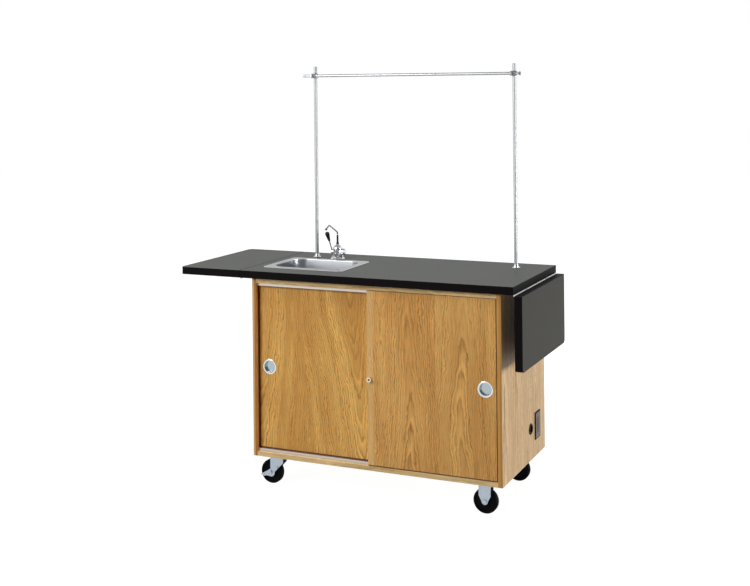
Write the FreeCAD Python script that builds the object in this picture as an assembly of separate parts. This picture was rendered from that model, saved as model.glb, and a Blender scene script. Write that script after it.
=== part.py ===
# Mobile science demonstration station: an oak cabinet on casters with a black laminate
# worktop, two drop leaves, a steel sink with a hand pump faucet, and a rod frame.
# Millimetres. +X is to the right of someone facing the doors, +Y goes to the back, +Z is up.
# The origin is on the floor, under the middle of the box that holds the whole station.
import FreeCAD, Part
import math
import os

Vector = FreeCAD.Vector

# Worktop and its two drop leaves
worktop_length = 1219.2
worktop_depth = 609.6
worktop_height = 914.4
worktop_thickness = 31.75
worktop_edge_chamfer = 1.2
leaf_width = 295.3
leaf_gap = 1.6
leaf_corner_radius = 19.0

# Cabinet shell
cabinet_side_inset = 53.975
cabinet_front_inset = 12.7
cabinet_back_inset = 12.7
panel_thickness = 19.05
back_thickness = 12.7
rail_depth = 57.15
partition_thickness = 19.05
shelf_thickness = 19.05
shelf_height_above_bottom = 340.0
shelf_side_clearance = 1.5
shelf_back_gap = 42.0
shelf_pin_radius = 2.5
shelf_pin_hole_clearance = 0.08
shelf_pin_in_wall = 8.0
shelf_pin_out = 10.0
shelf_pin_inset = 60.0

# Sliding doors and the aluminium tracks that they run in
door_thickness = 19.05
door_front_setback = 1.6
door_overlap = 40.0
door_end_clearance = 1.5
door_cover_gap = 3.2
door_foot_clearance = 0.3
door_head_clearance = 1.5
track_height = 12.7
track_wall = 1.6
track_lip_setback = 9.0
track_groove_clearance = 1.0
door_spacing = 3.75

# Recessed pulls
pull_flange_radius = 32.0
pull_flange_thickness = 1.2
pull_cup_radius = 25.0
pull_cup_depth = 12.0
pull_wall = 1.2
pull_edge_distance = 47.5
pull_hole_clearance = 0.25

# Door lock
lock_edge_distance = 11.1
lock_drop = 5.0
lock_barrel_radius = 7.6
lock_face_radius = 9.5
lock_face_length = 12.2
lock_plug_radius = 5.2
lock_plug_proud = 0.5
lock_back_recess = 1.0
lock_fit = 0.05
lock_hole_clearance = 0.25
lock_slot_width = 1.2
lock_slot_height = 6.8
lock_slot_depth = 4.0
bolt_hole_radius = 5.0
bolt_hole_depth = 10.0

# Sink
sink_length = 381.0
sink_depth_share = 0.5
sink_side_clearance = 0.65
sink_faucet_gap = 6.2
sink_rim_height = 2.4
sink_rim_corner_radius = 22.0
sink_ledge = 28.575
sink_bowl_corner_radius = 57.0
sink_bowl_depth = 152.4
sink_bowl_taper = 16.0
sink_floor_fillet = 24.0
sink_sheet = 1.5
sink_cutout_margin = 8.0
drain_hole_radius = 24.0
drain_flange_radius = 34.0
drain_flange_thickness = 2.0
drain_nut_radius = 30.0
drain_nut_height = 10.0
drain_wall = 3.0
tailpiece_radius = 17.5
tailpiece_wall = 2.0
strainer_radius = 20.0
strainer_thickness = 2.0
strainer_cup_depth = 10.0
strainer_hole_radius = 2.4
strainer_hole_circle = 11.0
strainer_hole_count = 6
strainer_knob_radius = 3.5
strainer_knob_height = 9.0
strainer_seat_gap = 0.3
strainer_rim_overlap = 4.0

# Water containers below the sink
tank_side_gap = 14.075
tank_spacing = 12.6
tank_height = 350.0
tank_corner_radius = 28.0
tank_shoulder_share = 0.6
tank_wall = 3.0
tank_neck_radius = 27.0
tank_neck_height = 20.0
tank_cap_radius = 30.0
tank_cap_height = 16.0
tank_cap_wall = 2.5
tank_tube_dip = 26.0
tank_tube_floor_gap = 25.0
supply_tube_radius = 6.0
supply_tube_wall = 1.5
tube_fit = 0.05

# Hand pump faucet
faucet_side_offset = 9.3
faucet_back_inset = 154.6
faucet_base_radius = 32.0
faucet_base_height = 8.0
faucet_base_rim = 3.0
faucet_base_top_radius = 26.5
pump_foot_radius = 25.0
pump_foot_rim = 3.0
pump_foot_height = 15.0
pump_dome_radius = 21.0
pump_dome_height = 45.0
pump_groove = 1.2
pump_groove_low = 25.0
pump_groove_high = 28.0
pump_top_radius = 7.5
pump_top_height = 67.0
pump_chamber_radius = 16.0
pump_chamber_reach = 39.0
pump_chamber_height = 32.0
pump_chamber_rim = 6.0
pump_boss_radius = 10.0
pump_boss_reach = 22.0
pump_pin_radius = 3.5
pump_pin_length = 10.0
pump_pin_head_radius = 5.5
pump_pin_head_length = 2.0
faucet_shank_radius = 11.0
faucet_shank_length = 30.0
faucet_nut_radius = 18.0
faucet_nut_height = 9.0
faucet_nut_sides = 6
faucet_hole_clearance = 0.8
lever_lean_degrees = 31.0
lever_hub_radius = 8.0
lever_hub_length = 7.5
lever_rod_radius = 3.2
lever_rod_length = 62.0
lever_grip_length = 46.0
lever_grip_low_radius = 5.0
lever_grip_high_radius = 10.0
lever_grip_round = 5.0
lever_grip_socket = 14.0
hinge_fit = 0.05
side_play = 0.3
spout_radius = 3.6
spout_bore_radius = 2.6
spout_bore_depth = 16.0
spout_rise = 121.0
spout_peak_height = 161.0
spout_peak_reach = 83.0
spout_tip_height = 145.0
spout_tip_reach = 117.0
spout_low_bend_radius = 12.0
spout_high_bend_radius = 9.0
spout_collar_radius = 6.0
spout_collar_height = 6.0
spout_pivot_radius = 3.2
spout_pivot_depth = 12.0
spout_tip_collar_radius = 4.6
spout_tip_collar_length = 10.0

# Rod frame
rod_radius = 7.9375
rod_side_inset = 135.0
rod_back_inset = 139.6
rod_rise = 872.6
rod_end_chamfer = 1.5
socket_wall = 3.2
socket_flange_lip = 6.0
socket_flange_height = 5.0
socket_collar_height = 16.0
socket_sleeve_length = 30.0
socket_floor = 4.0
socket_fit = 0.06
crossbar_radius = 6.35
crossbar_drop = 42.4
crossbar_overhang_left = 55.0
crossbar_overhang_right = 23.0
clamp_web = 3.0
clamp_wall = 4.0
clamp_height = 22.0
clamp_width = 22.0
clamp_boss_radius = 5.5
clamp_boss_reach = 3.0
screw_radius = 3.0
screw_tip_gap = 0.3
screw_reach = 6.0
wing_hub_radius = 4.8
wing_hub_length = 5.0
wing_span = 18.0
wing_height = 8.5
wing_thickness = 3.2
wing_corner_share = 0.45

# Piano hinges and the locking brackets of the leaves
hinge_drop = 3.2
hinge_barrel_radius = 3.0
hinge_pin_radius = 1.5
hinge_sheet = 1.2
hinge_flap = 24.0
hinge_barrel_clearance = 0.4
hinge_end_inset = 8.0
knuckle_length = 27.0
knuckle_gap = 0.5
bracket_place_share = (0.25, 0.75)
bracket_length = 40.0
bracket_clearance = 1.0
bracket_sheet = 2.0
bracket_reach = 46.0
bracket_rib_depth = 8.0
bracket_rib_share = 0.6
bracket_ear_thickness = 3.0
bracket_lug_width = 12.0
bracket_eye_radius = 3.1
bracket_pin_radius = 1.8
bracket_pin_head = 1.0

# Outlet and power inlet on the right side
outlet_back_inset = 115.9
outlet_rise = 127.8
plate_width = 69.85
plate_height = 114.3
plate_thickness = 5.5
plate_draft = 2.5
plate_window_width = 33.4
plate_window_height = 66.8
receptacle_clearance = 0.3
receptacle_proud = 1.2
receptacle_depth = 36.0
box_width = 50.0
box_height = 74.0
box_depth = 52.0
box_wall = 2.0
box_hole_clearance = 1.0
strap_thickness = 1.5
slot_width = 2.0
slot_height = 7.5
slot_depth = 9.0
slot_spacing = 12.5
ground_radius = 2.4
ground_drop = 9.5
outlet_spacing = 39.0
button_width = 12.0
button_height = 5.6
button_spacing = 8.0
button_proud = 1.2
button_length = 9.0
button_clearance = 0.2
inlet_spacing = 92.3
inlet_lift = 4.2
inlet_flange_radius = 23.0
inlet_flange_thickness = 4.0
inlet_body_radius = 19.0
inlet_body_depth = 32.0
inlet_recess_radius = 16.0
inlet_recess_depth = 22.0
inlet_blade_length = 15.0
inlet_blade_thickness = 1.6
inlet_blade_width = 6.4
inlet_blade_spacing = 12.7
inlet_ground_radius = 2.4
inlet_ground_rise = 9.0

# Casters
wheel_radius = 50.8
wheel_width = 28.6
wheel_shoulder = 6.5
wheel_dish_depth = 4.5
wheel_dish_radius = 38.0
wheel_hub_radius = 15.0
wheel_hub_proud = 1.4
axle_radius = 4.5
axle_head_radius = 7.5
axle_head_length = 4.0
caster_headroom = 24.6
caster_inset_left = 88.0
caster_inset_right = 88.9
caster_inset_front = 58.7
caster_inset_back = 96.9
caster_plate_length = 95.25
caster_plate_width = 66.7
caster_plate_thickness = 3.0
caster_plate_corner_radius = 6.0
swivel_trail = 28.0
race_radius = 24.0
race_height = 7.0
race_play = 0.4
fork_sheet = 3.0
fork_top_radius = 30.0
fork_top_thickness = 4.0
fork_hub_play = 0.4
fork_side_drop = 18.0
fork_brace_slope_degrees = 36.0
fork_nose_radius = 13.0
rigid_fork_width = 50.0
rigid_fork_straight = 50.0
kingpin_radius = 6.0
kingpin_head_radius = 9.5
kingpin_head_height = 3.5
pedal_sheet = 3.0
pedal_reach = 44.0
pedal_tab_depth = 8.0
pedal_tab_length = 14.0
pedal_outline_shares = (
    (-1.0, -0.24),
    (-0.97, -0.36),
    (-0.71, -0.45),
    (-0.47, -0.36),
    (-0.18, -0.375),
    (0.08, -0.43),
    (0.29, -0.355),
    (0.45, -0.13),
    (0.47, 0.13),
    (0.74, 0.37),
    (0.8, 0.53),
    (0.7, 0.61),
    (0.47, 0.5),
    (0.13, 0.36),
    (-0.12, 0.26),
    (-0.49, 0.03),
)

# One overrun for every cut, and how near two heights lie that count as one
overrun = 1.0
same_height = 0.01

# Places worked out from the sizes above
top_z = worktop_height
under_z = worktop_height - worktop_thickness
cabinet_right = worktop_length / 2 - cabinet_side_inset
cabinet_left = -cabinet_right
cabinet_front = cabinet_front_inset
cabinet_back = worktop_depth - cabinet_back_inset
cabinet_bottom = wheel_radius * 2 + caster_headroom
cabinet_top = under_z
inner_left = cabinet_left + panel_thickness
inner_right = cabinet_right - panel_thickness
inner_back = cabinet_back - back_thickness
floor_z = cabinet_bottom + panel_thickness
ceiling_z = cabinet_top - panel_thickness
hinge_x = worktop_length / 2 + leaf_gap / 2
hinge_z = under_z - hinge_drop
front_door_y = cabinet_front + door_front_setback
lip_y = front_door_y + track_lip_setback
tongue_y = lip_y + track_wall + track_groove_clearance
rear_door_y = front_door_y + door_thickness + door_spacing
track_back_y = rear_door_y + door_thickness + track_groove_clearance + track_wall
middle_lip_y = rear_door_y - track_groove_clearance - track_wall
mid_z = (cabinet_bottom + cabinet_top) / 2
lock_z = mid_z - lock_drop
sink_depth = worktop_depth * sink_depth_share
sink_centre_x = inner_left + sink_side_clearance + sink_sheet + sink_length / 2 - sink_ledge
faucet_x = sink_centre_x + faucet_side_offset
faucet_y = worktop_depth - faucet_back_inset
sink_centre_y = faucet_y - faucet_base_radius - sink_faucet_gap - sink_depth / 2
tank_length = (sink_centre_x - inner_left - tank_side_gap) * 2
tank_depth = faucet_y - sink_centre_y - tank_spacing
rod_spacing = worktop_length - rod_side_inset * 2
rod_y = worktop_depth - rod_back_inset
rod_top = worktop_height + rod_rise
crossbar_z = rod_top - crossbar_drop
crossbar_y = rod_y - rod_radius - crossbar_radius - clamp_web
socket_collar_radius = rod_radius + socket_wall
socket_flange_radius = socket_collar_radius + socket_flange_lip
clamp_upright_radius = rod_radius + clamp_wall
clamp_crossbar_radius = crossbar_radius + clamp_wall
outlet_centre_y = cabinet_back - outlet_back_inset
outlet_centre_z = cabinet_bottom + outlet_rise
inlet_centre_y = outlet_centre_y - inlet_spacing
inlet_centre_z = outlet_centre_z + inlet_lift
wheel_hub_width = wheel_width + wheel_hub_proud * 2
fork_cheek_gap = wheel_hub_width / 2 + fork_hub_play
axle_z = wheel_radius
swivel_x = cabinet_left + caster_inset_left
rigid_x = cabinet_right - caster_inset_right
caster_front_y = cabinet_front + caster_inset_front
caster_back_y = cabinet_back - caster_inset_back

# The whole station spans from the raised left leaf to the face of the hanging right leaf
span_left = -(worktop_length / 2 + leaf_gap + leaf_width)
span_right = hinge_x + hinge_drop + worktop_thickness
origin = Vector(-(span_left + span_right) / 2, -worktop_depth / 2, 0)


def box(x, y, z):
    """A block between three pairs of limits."""
    corner = Vector(min(x), min(y), min(z))
    return Part.makeBox(abs(x[1] - x[0]), abs(y[1] - y[0]), abs(z[1] - z[0]), corner)


def bar(radius, start, end):
    """A round bar between two points."""
    start = Vector(*start)
    along = Vector(*end) - start
    return Part.makeCylinder(radius, along.Length, start, along)


def join(pieces):
    """Several touching solids as one."""
    whole = pieces[0].multiFuse(pieces[1:]).removeSplitter()
    return whole.Solids[0] if len(whole.Solids) == 1 else whole


def cut(solid, tools):
    """A solid with every tool taken out of it."""
    left = solid.cut(tools)
    return left.Solids[0] if len(left.Solids) == 1 else left


def rounded_wire(x, y, z, radius):
    """A closed rectangle with round corners at one height."""
    low_x, high_x = x
    low_y, high_y = y
    turn = radius * (1 - math.cos(math.pi / 4))
    starts = [
        ((low_x + radius, low_y), (high_x - radius, low_y), (high_x - turn, low_y + turn)),
        ((high_x, low_y + radius), (high_x, high_y - radius), (high_x - turn, high_y - turn)),
        ((high_x - radius, high_y), (low_x + radius, high_y), (low_x + turn, high_y - turn)),
        ((low_x, high_y - radius), (low_x, low_y + radius), (low_x + turn, low_y + turn)),
    ]
    edges = []
    for index, (begin, end, middle) in enumerate(starts):
        following = starts[(index + 1) % len(starts)][0]
        edges.append(Part.makeLine(Vector(*begin, z), Vector(*end, z)))
        arc = Part.Arc(Vector(*end, z), Vector(*middle, z), Vector(*following, z))
        edges.append(arc.toShape())
    return Part.Wire(edges)


def rounded_block(x, y, z, radius):
    """An upright block with round vertical edges."""
    face = Part.Face(rounded_wire(x, y, z[0], radius))
    return face.extrude(Vector(0, 0, z[1] - z[0]))


def outline(points, place):
    """A closed face through points, each put into space by place."""
    corners = [place(*point) for point in points]
    return Part.Face(Part.makePolygon(corners + corners[:1]))


def turned(profile, centre, axis):
    """A profile of (radius, height) points turned about an axis through a centre."""
    face = outline(profile, lambda r, h: Vector(r, 0, h))
    solid = face.revolve(Vector(0, 0, 0), Vector(0, 0, 1), 360)
    solid.rotate(Vector(0, 0, 0), *rotation_to(axis))
    solid.translate(Vector(*centre))
    return solid


def rotation_to(axis):
    """The turn that brings +Z to an axis, as an axis and degrees."""
    turn = FreeCAD.Rotation(Vector(0, 0, 1), Vector(*axis))
    return turn.Axis, math.degrees(turn.Angle)


def keep(name, *solids):
    """Move the solids into the station's own frame and write them as one node."""
    shape = solids[0] if len(solids) == 1 else Part.makeCompound(list(solids))
    moved = shape.copy()
    moved.translate(origin)
    moved.exportStep(os.path.join("parts", name + ".step"))


def about(centre, reach):
    """A pair of limits at equal reach on both sides of a centre."""
    return centre - reach, centre + reach


# Cabinet shell: sides, bottom, back, rails, partition, shelf
def shelf_pins():
    """Four pins in the partition and the right side, with the places of their holes."""
    pins = []
    holes = []
    low = floor_z + shelf_height_above_bottom - shelf_pin_radius
    depth = (track_back_y + shelf_pin_inset, inner_back - shelf_back_gap - shelf_pin_inset)
    walls = ((partition_thickness / 2, 1), (inner_right, -1))
    for wall_x, way in walls:
        for y in depth:
            inner_end = (wall_x - way * shelf_pin_in_wall, y, low)
            outer_end = (wall_x + way * shelf_pin_out, y, low)
            mouth = (wall_x + way * overrun, y, low)
            pins.append(bar(shelf_pin_radius, inner_end, outer_end))
            holes.append(bar(shelf_pin_radius + shelf_pin_hole_clearance, inner_end, mouth))
    return pins, holes


def right_side_openings():
    """The holes that the outlet box and the power inlet fill in the right side."""
    through = (inner_right - overrun, cabinet_right + overrun)
    width = box_width / 2 + box_hole_clearance
    height = box_height / 2 + box_hole_clearance
    window = box(through, about(outlet_centre_y, width), about(outlet_centre_z, height))
    radius = inlet_body_radius + receptacle_clearance
    round_hole = bar(
        radius,
        (through[0], inlet_centre_y, inlet_centre_z),
        (through[1], inlet_centre_y, inlet_centre_z),
    )
    return [window, round_hole]


def cabinet():
    depth = (cabinet_front, cabinet_back)
    height = (cabinet_bottom, cabinet_top)
    inside = (inner_left, inner_right)
    pins, holes = shelf_pins()
    keep("side_panel_left", box((cabinet_left, inner_left), depth, height))
    right = box((inner_right, cabinet_right), depth, height)
    keep("side_panel_right", cut(right, right_side_openings() + holes[2:]))
    keep("bottom_panel", box(inside, (cabinet_front, inner_back), (cabinet_bottom, floor_z)))
    keep("back_panel", box(inside, (inner_back, cabinet_back), height))
    rail_height = (ceiling_z, cabinet_top)
    front_rail = box(inside, (cabinet_front, cabinet_front + rail_depth), rail_height)
    back_rail = box(inside, (inner_back - rail_depth, inner_back), rail_height)
    keep("top_rails", front_rail, back_rail)
    behind_doors = (track_back_y, inner_back)
    partition = box(about(0, partition_thickness / 2), behind_doors, (floor_z, ceiling_z))
    keep("centre_partition", cut(partition, holes[:2]))
    shelf_x = (partition_thickness / 2 + shelf_side_clearance, inner_right - shelf_side_clearance)
    shelf_y = (track_back_y + shelf_side_clearance, inner_back - shelf_back_gap)
    shelf_low = floor_z + shelf_height_above_bottom
    keep("shelf", box(shelf_x, shelf_y, (shelf_low, shelf_low + shelf_thickness)))
    keep("shelf_pins", *pins)


# Tracks: an aluminium channel with three lips, one above the doors and one below
def track(base_z, way):
    """A three-lipped channel whose lips point along way from its base."""
    inside = (inner_left, inner_right)
    base = box(inside, (lip_y, track_back_y), (base_z, base_z + way * track_wall))
    lips = (lip_y, middle_lip_y, track_back_y - track_wall)
    lip_z = (base_z, base_z + way * track_height)
    return join([base] + [box(inside, (y, y + track_wall), lip_z) for y in lips])


# Doors: the front one covers the front lip of both tracks, so its edges are grooved
def pull(x, face_y):
    """A round cup let into a door, with a thin flange on its face."""
    profile = [
        (0, 0),
        (pull_cup_radius, 0),
        (pull_cup_radius, pull_cup_depth),
        (pull_flange_radius, pull_cup_depth),
        (pull_flange_radius, pull_cup_depth + pull_flange_thickness / 2),
        (pull_flange_radius - pull_flange_thickness, pull_cup_depth + pull_flange_thickness),
        (pull_cup_radius - pull_wall, pull_cup_depth + pull_flange_thickness),
        (pull_cup_radius - pull_wall, pull_wall * 2),
        (pull_cup_radius - pull_wall * 2, pull_wall),
        (0, pull_wall),
    ]
    return turned(profile, (x, face_y + pull_cup_depth, mid_z), (0, -1, 0))


def pull_hole(x, face_y):
    radius = pull_cup_radius + pull_hole_clearance
    depth = pull_cup_depth + pull_hole_clearance
    return bar(radius, (x, face_y - overrun, mid_z), (x, face_y + depth, mid_z))


def doors():
    inside = inner_right - door_end_clearance
    half_overlap = door_overlap / 2
    foot = floor_z + track_wall + door_foot_clearance
    head = ceiling_z - track_wall - door_head_clearance
    lock_x = -half_overlap + lock_edge_distance
    # The rear door stands on the left
    rear = box((-inside, half_overlap), (rear_door_y, rear_door_y + door_thickness), (foot, head))
    left_pull_x = -inside + pull_edge_distance
    bolt_start = (lock_x, rear_door_y - overrun, lock_z)
    bolt_hole = bar(bolt_hole_radius, bolt_start, (lock_x, rear_door_y + bolt_hole_depth, lock_z))
    keep("door_left", cut(rear, [pull_hole(left_pull_x, rear_door_y), bolt_hole]))
    keep("pull_left", pull(left_pull_x, rear_door_y))
    # The front door stands on the right
    span = (-half_overlap, inside)
    cover_z = (floor_z + door_cover_gap, ceiling_z - door_cover_gap)
    cover = box(span, (front_door_y, front_door_y + door_thickness), cover_z)
    tongue = box(span, (tongue_y, front_door_y + door_thickness), (foot, head))
    run = (span[0] - overrun, span[1] + overrun)
    groove_y = (lip_y - track_groove_clearance, tongue_y)
    groove_depth = track_height + track_groove_clearance
    low_groove = box(run, groove_y, (floor_z, floor_z + groove_depth))
    high_groove = box(run, groove_y, (ceiling_z - groove_depth, ceiling_z))
    right_pull_x = inside - pull_edge_distance
    barrel_hole = bar(
        lock_barrel_radius + lock_hole_clearance,
        (lock_x, front_door_y - overrun, lock_z),
        (lock_x, front_door_y + door_thickness + overrun, lock_z),
    )
    tools = [low_groove, high_groove, pull_hole(right_pull_x, front_door_y), barrel_hole]
    keep("door_right", cut(join([cover, tongue]), tools))
    keep("pull_right", pull(right_pull_x, front_door_y))
    lock(lock_x)


def lock(x):
    """A round lock let through the front door, with a plug that the key turns."""
    face_y = front_door_y - lock_face_length
    back_y = front_door_y + door_thickness - lock_back_recess
    head = bar(lock_face_radius, (x, face_y, lock_z), (x, front_door_y, lock_z))
    barrel = bar(lock_barrel_radius, (x, face_y, lock_z), (x, back_y, lock_z))
    bore = bar(lock_plug_radius + lock_fit, (x, face_y - overrun, lock_z), (x, back_y + overrun, lock_z))
    keep("lock_housing", cut(join([head, barrel]), [bore]))
    front = face_y - lock_plug_proud
    plug = bar(lock_plug_radius, (x, front, lock_z), (x, back_y, lock_z))
    slot = box(
        about(x, lock_slot_width / 2),
        (front - overrun, front + lock_slot_depth),
        about(lock_z, lock_slot_height / 2),
    )
    keep("lock_plug", cut(plug, [slot]))


# Worktop, with the openings for the sink, the faucet and the rod sockets
def chamfered_top(solid, height):
    """Break the upper outer edges of a slab by a small chamfer."""
    edges = []
    for edge in solid.Edges:
        bounds = edge.BoundBox
        if max(abs(bounds.ZMin - height), abs(bounds.ZMax - height)) < same_height:
            edges.append(edge)
    return solid.makeChamfer(worktop_edge_chamfer, edges)


def worktop():
    slab = box(about(0, worktop_length / 2), (0, worktop_depth), (under_z, top_z))
    slab = chamfered_top(slab, top_z)
    through = (under_z - overrun, top_z + overrun)
    reach_x = sink_length / 2 - sink_ledge + sink_cutout_margin
    reach_y = sink_depth / 2 - sink_ledge + sink_cutout_margin
    opening = rounded_block(
        about(sink_centre_x, reach_x),
        about(sink_centre_y, reach_y),
        through,
        sink_bowl_corner_radius,
    )
    tools = [opening]
    shank_hole = faucet_shank_radius + faucet_hole_clearance
    tools.append(bar(shank_hole, (faucet_x, faucet_y, through[0]), (faucet_x, faucet_y, through[1])))
    for x in about(0, rod_spacing / 2):
        sleeve_hole = socket_collar_radius + faucet_hole_clearance
        tools.append(bar(sleeve_hole, (x, rod_y, through[0]), (x, rod_y, through[1])))
    keep("worktop", cut(slab, tools))


# Sink: a pressed steel bowl under a flat rim, a drain, and a lift-out strainer
def bowl(inset, floor_drop, fillet):
    """The bowl as a solid, drawn in by inset from the ledge's inner edge."""
    reach_x = sink_length / 2 - sink_ledge - inset
    reach_y = sink_depth / 2 - sink_ledge - inset
    radius = sink_bowl_corner_radius - inset
    high = top_z + sink_rim_height
    low = top_z - sink_bowl_depth + floor_drop
    upper = rounded_wire(about(sink_centre_x, reach_x), about(sink_centre_y, reach_y), high, radius)
    lower = rounded_wire(
        about(sink_centre_x, reach_x - sink_bowl_taper),
        about(sink_centre_y, reach_y - sink_bowl_taper),
        low,
        radius - sink_bowl_taper / 2,
    )
    solid = Part.makeLoft([upper, lower], True, True)
    rounded = [edge for edge in solid.Edges if edge.BoundBox.ZMax < low + overrun / 2]
    return solid.makeFillet(fillet, rounded)


def sink():
    rim = rounded_block(
        about(sink_centre_x, sink_length / 2),
        about(sink_centre_y, sink_depth / 2),
        (top_z, top_z + sink_rim_height),
        sink_rim_corner_radius,
    )
    rim = chamfered_top(rim, top_z + sink_rim_height)
    shell = join([rim, bowl(-sink_sheet, 0, sink_floor_fillet + sink_sheet)])
    floor = top_z - sink_bowl_depth
    centre = (sink_centre_x, sink_centre_y)
    drain_end = (*centre, floor - overrun)
    drain_mouth = (*centre, floor + sink_sheet + overrun)
    drain_hole = bar(drain_hole_radius, drain_end, drain_mouth)
    keep("sink", cut(shell, [bowl(0, sink_sheet, sink_floor_fillet), drain_hole]))
    drain(centre, floor)


def drain(centre, floor):
    """Flange, nut and tailpiece in one, and the strainer that sits in the flange."""
    inner_floor = floor + sink_sheet
    flange_top = inner_floor + drain_flange_thickness
    throat = drain_hole_radius - drain_wall
    tail_end = floor_z + tank_height + tank_neck_height - tank_tube_dip
    nut_low = floor - drain_nut_height
    profile = [
        (strainer_radius - strainer_rim_overlap, nut_low),
        (strainer_radius - strainer_rim_overlap, flange_top - strainer_thickness),
        (throat, flange_top - strainer_thickness),
        (throat, flange_top),
        (drain_flange_radius - drain_flange_thickness, flange_top),
        (drain_flange_radius, inner_floor),
        (drain_hole_radius - tube_fit, inner_floor),
        (drain_hole_radius - tube_fit, floor),
        (drain_nut_radius, floor),
        (drain_nut_radius, nut_low),
        (tailpiece_radius, nut_low - drain_wall),
        (tailpiece_radius, tail_end),
        (tailpiece_radius - tailpiece_wall, tail_end),
        (tailpiece_radius - tailpiece_wall, nut_low),
    ]
    keep("sink_drain", turned(profile, (*centre, 0), (0, 0, 1)))
    seat = flange_top - strainer_thickness + strainer_seat_gap
    cup_radius = strainer_radius - strainer_rim_overlap - side_play * 2
    cup_low = seat - strainer_cup_depth
    strainer_profile = [
        (0, cup_low),
        (cup_radius, cup_low),
        (cup_radius, seat),
        (strainer_radius, seat),
        (strainer_radius, seat + strainer_thickness),
        (cup_radius - strainer_thickness / 2, seat + strainer_thickness),
        (cup_radius - strainer_thickness / 2, cup_low + strainer_thickness / 2),
        (strainer_knob_radius, cup_low + strainer_thickness / 2),
        (strainer_knob_radius, cup_low + strainer_knob_height),
        (0, cup_low + strainer_knob_height),
    ]
    cup = turned(strainer_profile, (*centre, 0), (0, 0, 1))
    holes = []
    for index in range(strainer_hole_count):
        angle = 2 * math.pi * index / strainer_hole_count
        x = centre[0] + strainer_hole_circle * math.cos(angle)
        y = centre[1] + strainer_hole_circle * math.sin(angle)
        below = (x, y, cup_low - overrun)
        above = (x, y, cup_low + strainer_thickness)
        holes.append(bar(strainer_hole_radius, below, above))
    keep("sink_strainer", cut(cup, holes))


# Water containers: one under the drain, one under the faucet
def tank(x, y):
    """A blow-moulded can with a neck, open at the neck."""
    reach_x = tank_length / 2
    reach_y = tank_depth / 2
    top = floor_z + tank_height
    hull = rounded_block(about(x, reach_x), about(y, reach_y), (floor_z, top), tank_corner_radius)
    shoulder = [e for e in hull.Edges if e.BoundBox.ZMin > top - overrun]
    hull = hull.makeFillet(tank_corner_radius * tank_shoulder_share, shoulder)
    hollow = rounded_block(
        about(x, reach_x - tank_wall),
        about(y, reach_y - tank_wall),
        (floor_z + tank_wall, top - tank_wall),
        tank_corner_radius - tank_wall,
    )
    ceiling = [e for e in hollow.Edges if e.BoundBox.ZMin > top - tank_wall - overrun]
    hollow = hollow.makeFillet(tank_corner_radius * tank_shoulder_share - tank_wall, ceiling)
    neck_top = top + tank_neck_height
    neck = bar(tank_neck_radius, (x, y, top - tank_wall), (x, y, neck_top))
    throat = bar(tank_neck_radius - tank_wall, (x, y, top - tank_wall * 2), (x, y, neck_top + overrun))
    return cut(join([hull, neck]), [hollow, throat])


def cap(x, y, hole_radius):
    """A screw cap over a neck, with a hole for the tube that passes through it."""
    top = floor_z + tank_height + tank_neck_height
    profile = [
        (hole_radius, top),
        (tank_neck_radius + side_play, top),
        (tank_neck_radius + side_play, top - tank_cap_height),
        (tank_cap_radius, top - tank_cap_height),
        (tank_cap_radius, top + tank_cap_wall / 2),
        (tank_cap_radius - tank_cap_wall / 2, top + tank_cap_wall),
        (hole_radius, top + tank_cap_wall),
    ]
    return turned(profile, (x, y, 0), (0, 0, 1))


def water_containers():
    keep("water_tanks", tank(sink_centre_x, sink_centre_y), tank(faucet_x, faucet_y))
    drain_cap = cap(sink_centre_x, sink_centre_y, tailpiece_radius + tube_fit)
    supply_cap = cap(faucet_x, faucet_y, supply_tube_radius + tube_fit)
    keep("tank_caps", drain_cap, supply_cap)
    low = floor_z + tank_wall + tank_tube_floor_gap
    high = under_z - faucet_shank_length
    tube = bar(supply_tube_radius, (faucet_x, faucet_y, low), (faucet_x, faucet_y, high))
    hollow = bar(
        supply_tube_radius - supply_tube_wall,
        (faucet_x, faucet_y, low - overrun),
        (faucet_x, faucet_y, high + overrun),
    )
    keep("supply_tube", cut(tube, [hollow]))


# Faucet: escutcheon, pump body with its chamber, lever and swivelling spout
def faucet_base():
    """The escutcheon on the worktop, with the threaded shank and its nut below."""
    profile = [
        (0, faucet_base_height),
        (faucet_base_top_radius, faucet_base_height),
        (faucet_base_radius - faucet_base_rim / 2, faucet_base_rim),
        (faucet_base_radius, faucet_base_rim / 2),
        (faucet_base_radius, 0),
        (0, 0),
    ]
    dish = turned(profile, (faucet_x, faucet_y, top_z), (0, 0, 1))
    shank_end = (faucet_x, faucet_y, under_z - faucet_shank_length)
    shank = bar(faucet_shank_radius, shank_end, (faucet_x, faucet_y, top_z + overrun))
    corners = []
    for index in range(faucet_nut_sides):
        angle = 2 * math.pi * index / faucet_nut_sides
        corners.append((faucet_nut_radius * math.cos(angle), faucet_nut_radius * math.sin(angle)))
    hexagon = outline(corners, lambda x, y: Vector(faucet_x + x, faucet_y + y, under_z))
    nut = hexagon.extrude(Vector(0, 0, -faucet_nut_height))
    return join([dish, shank, nut])


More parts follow.
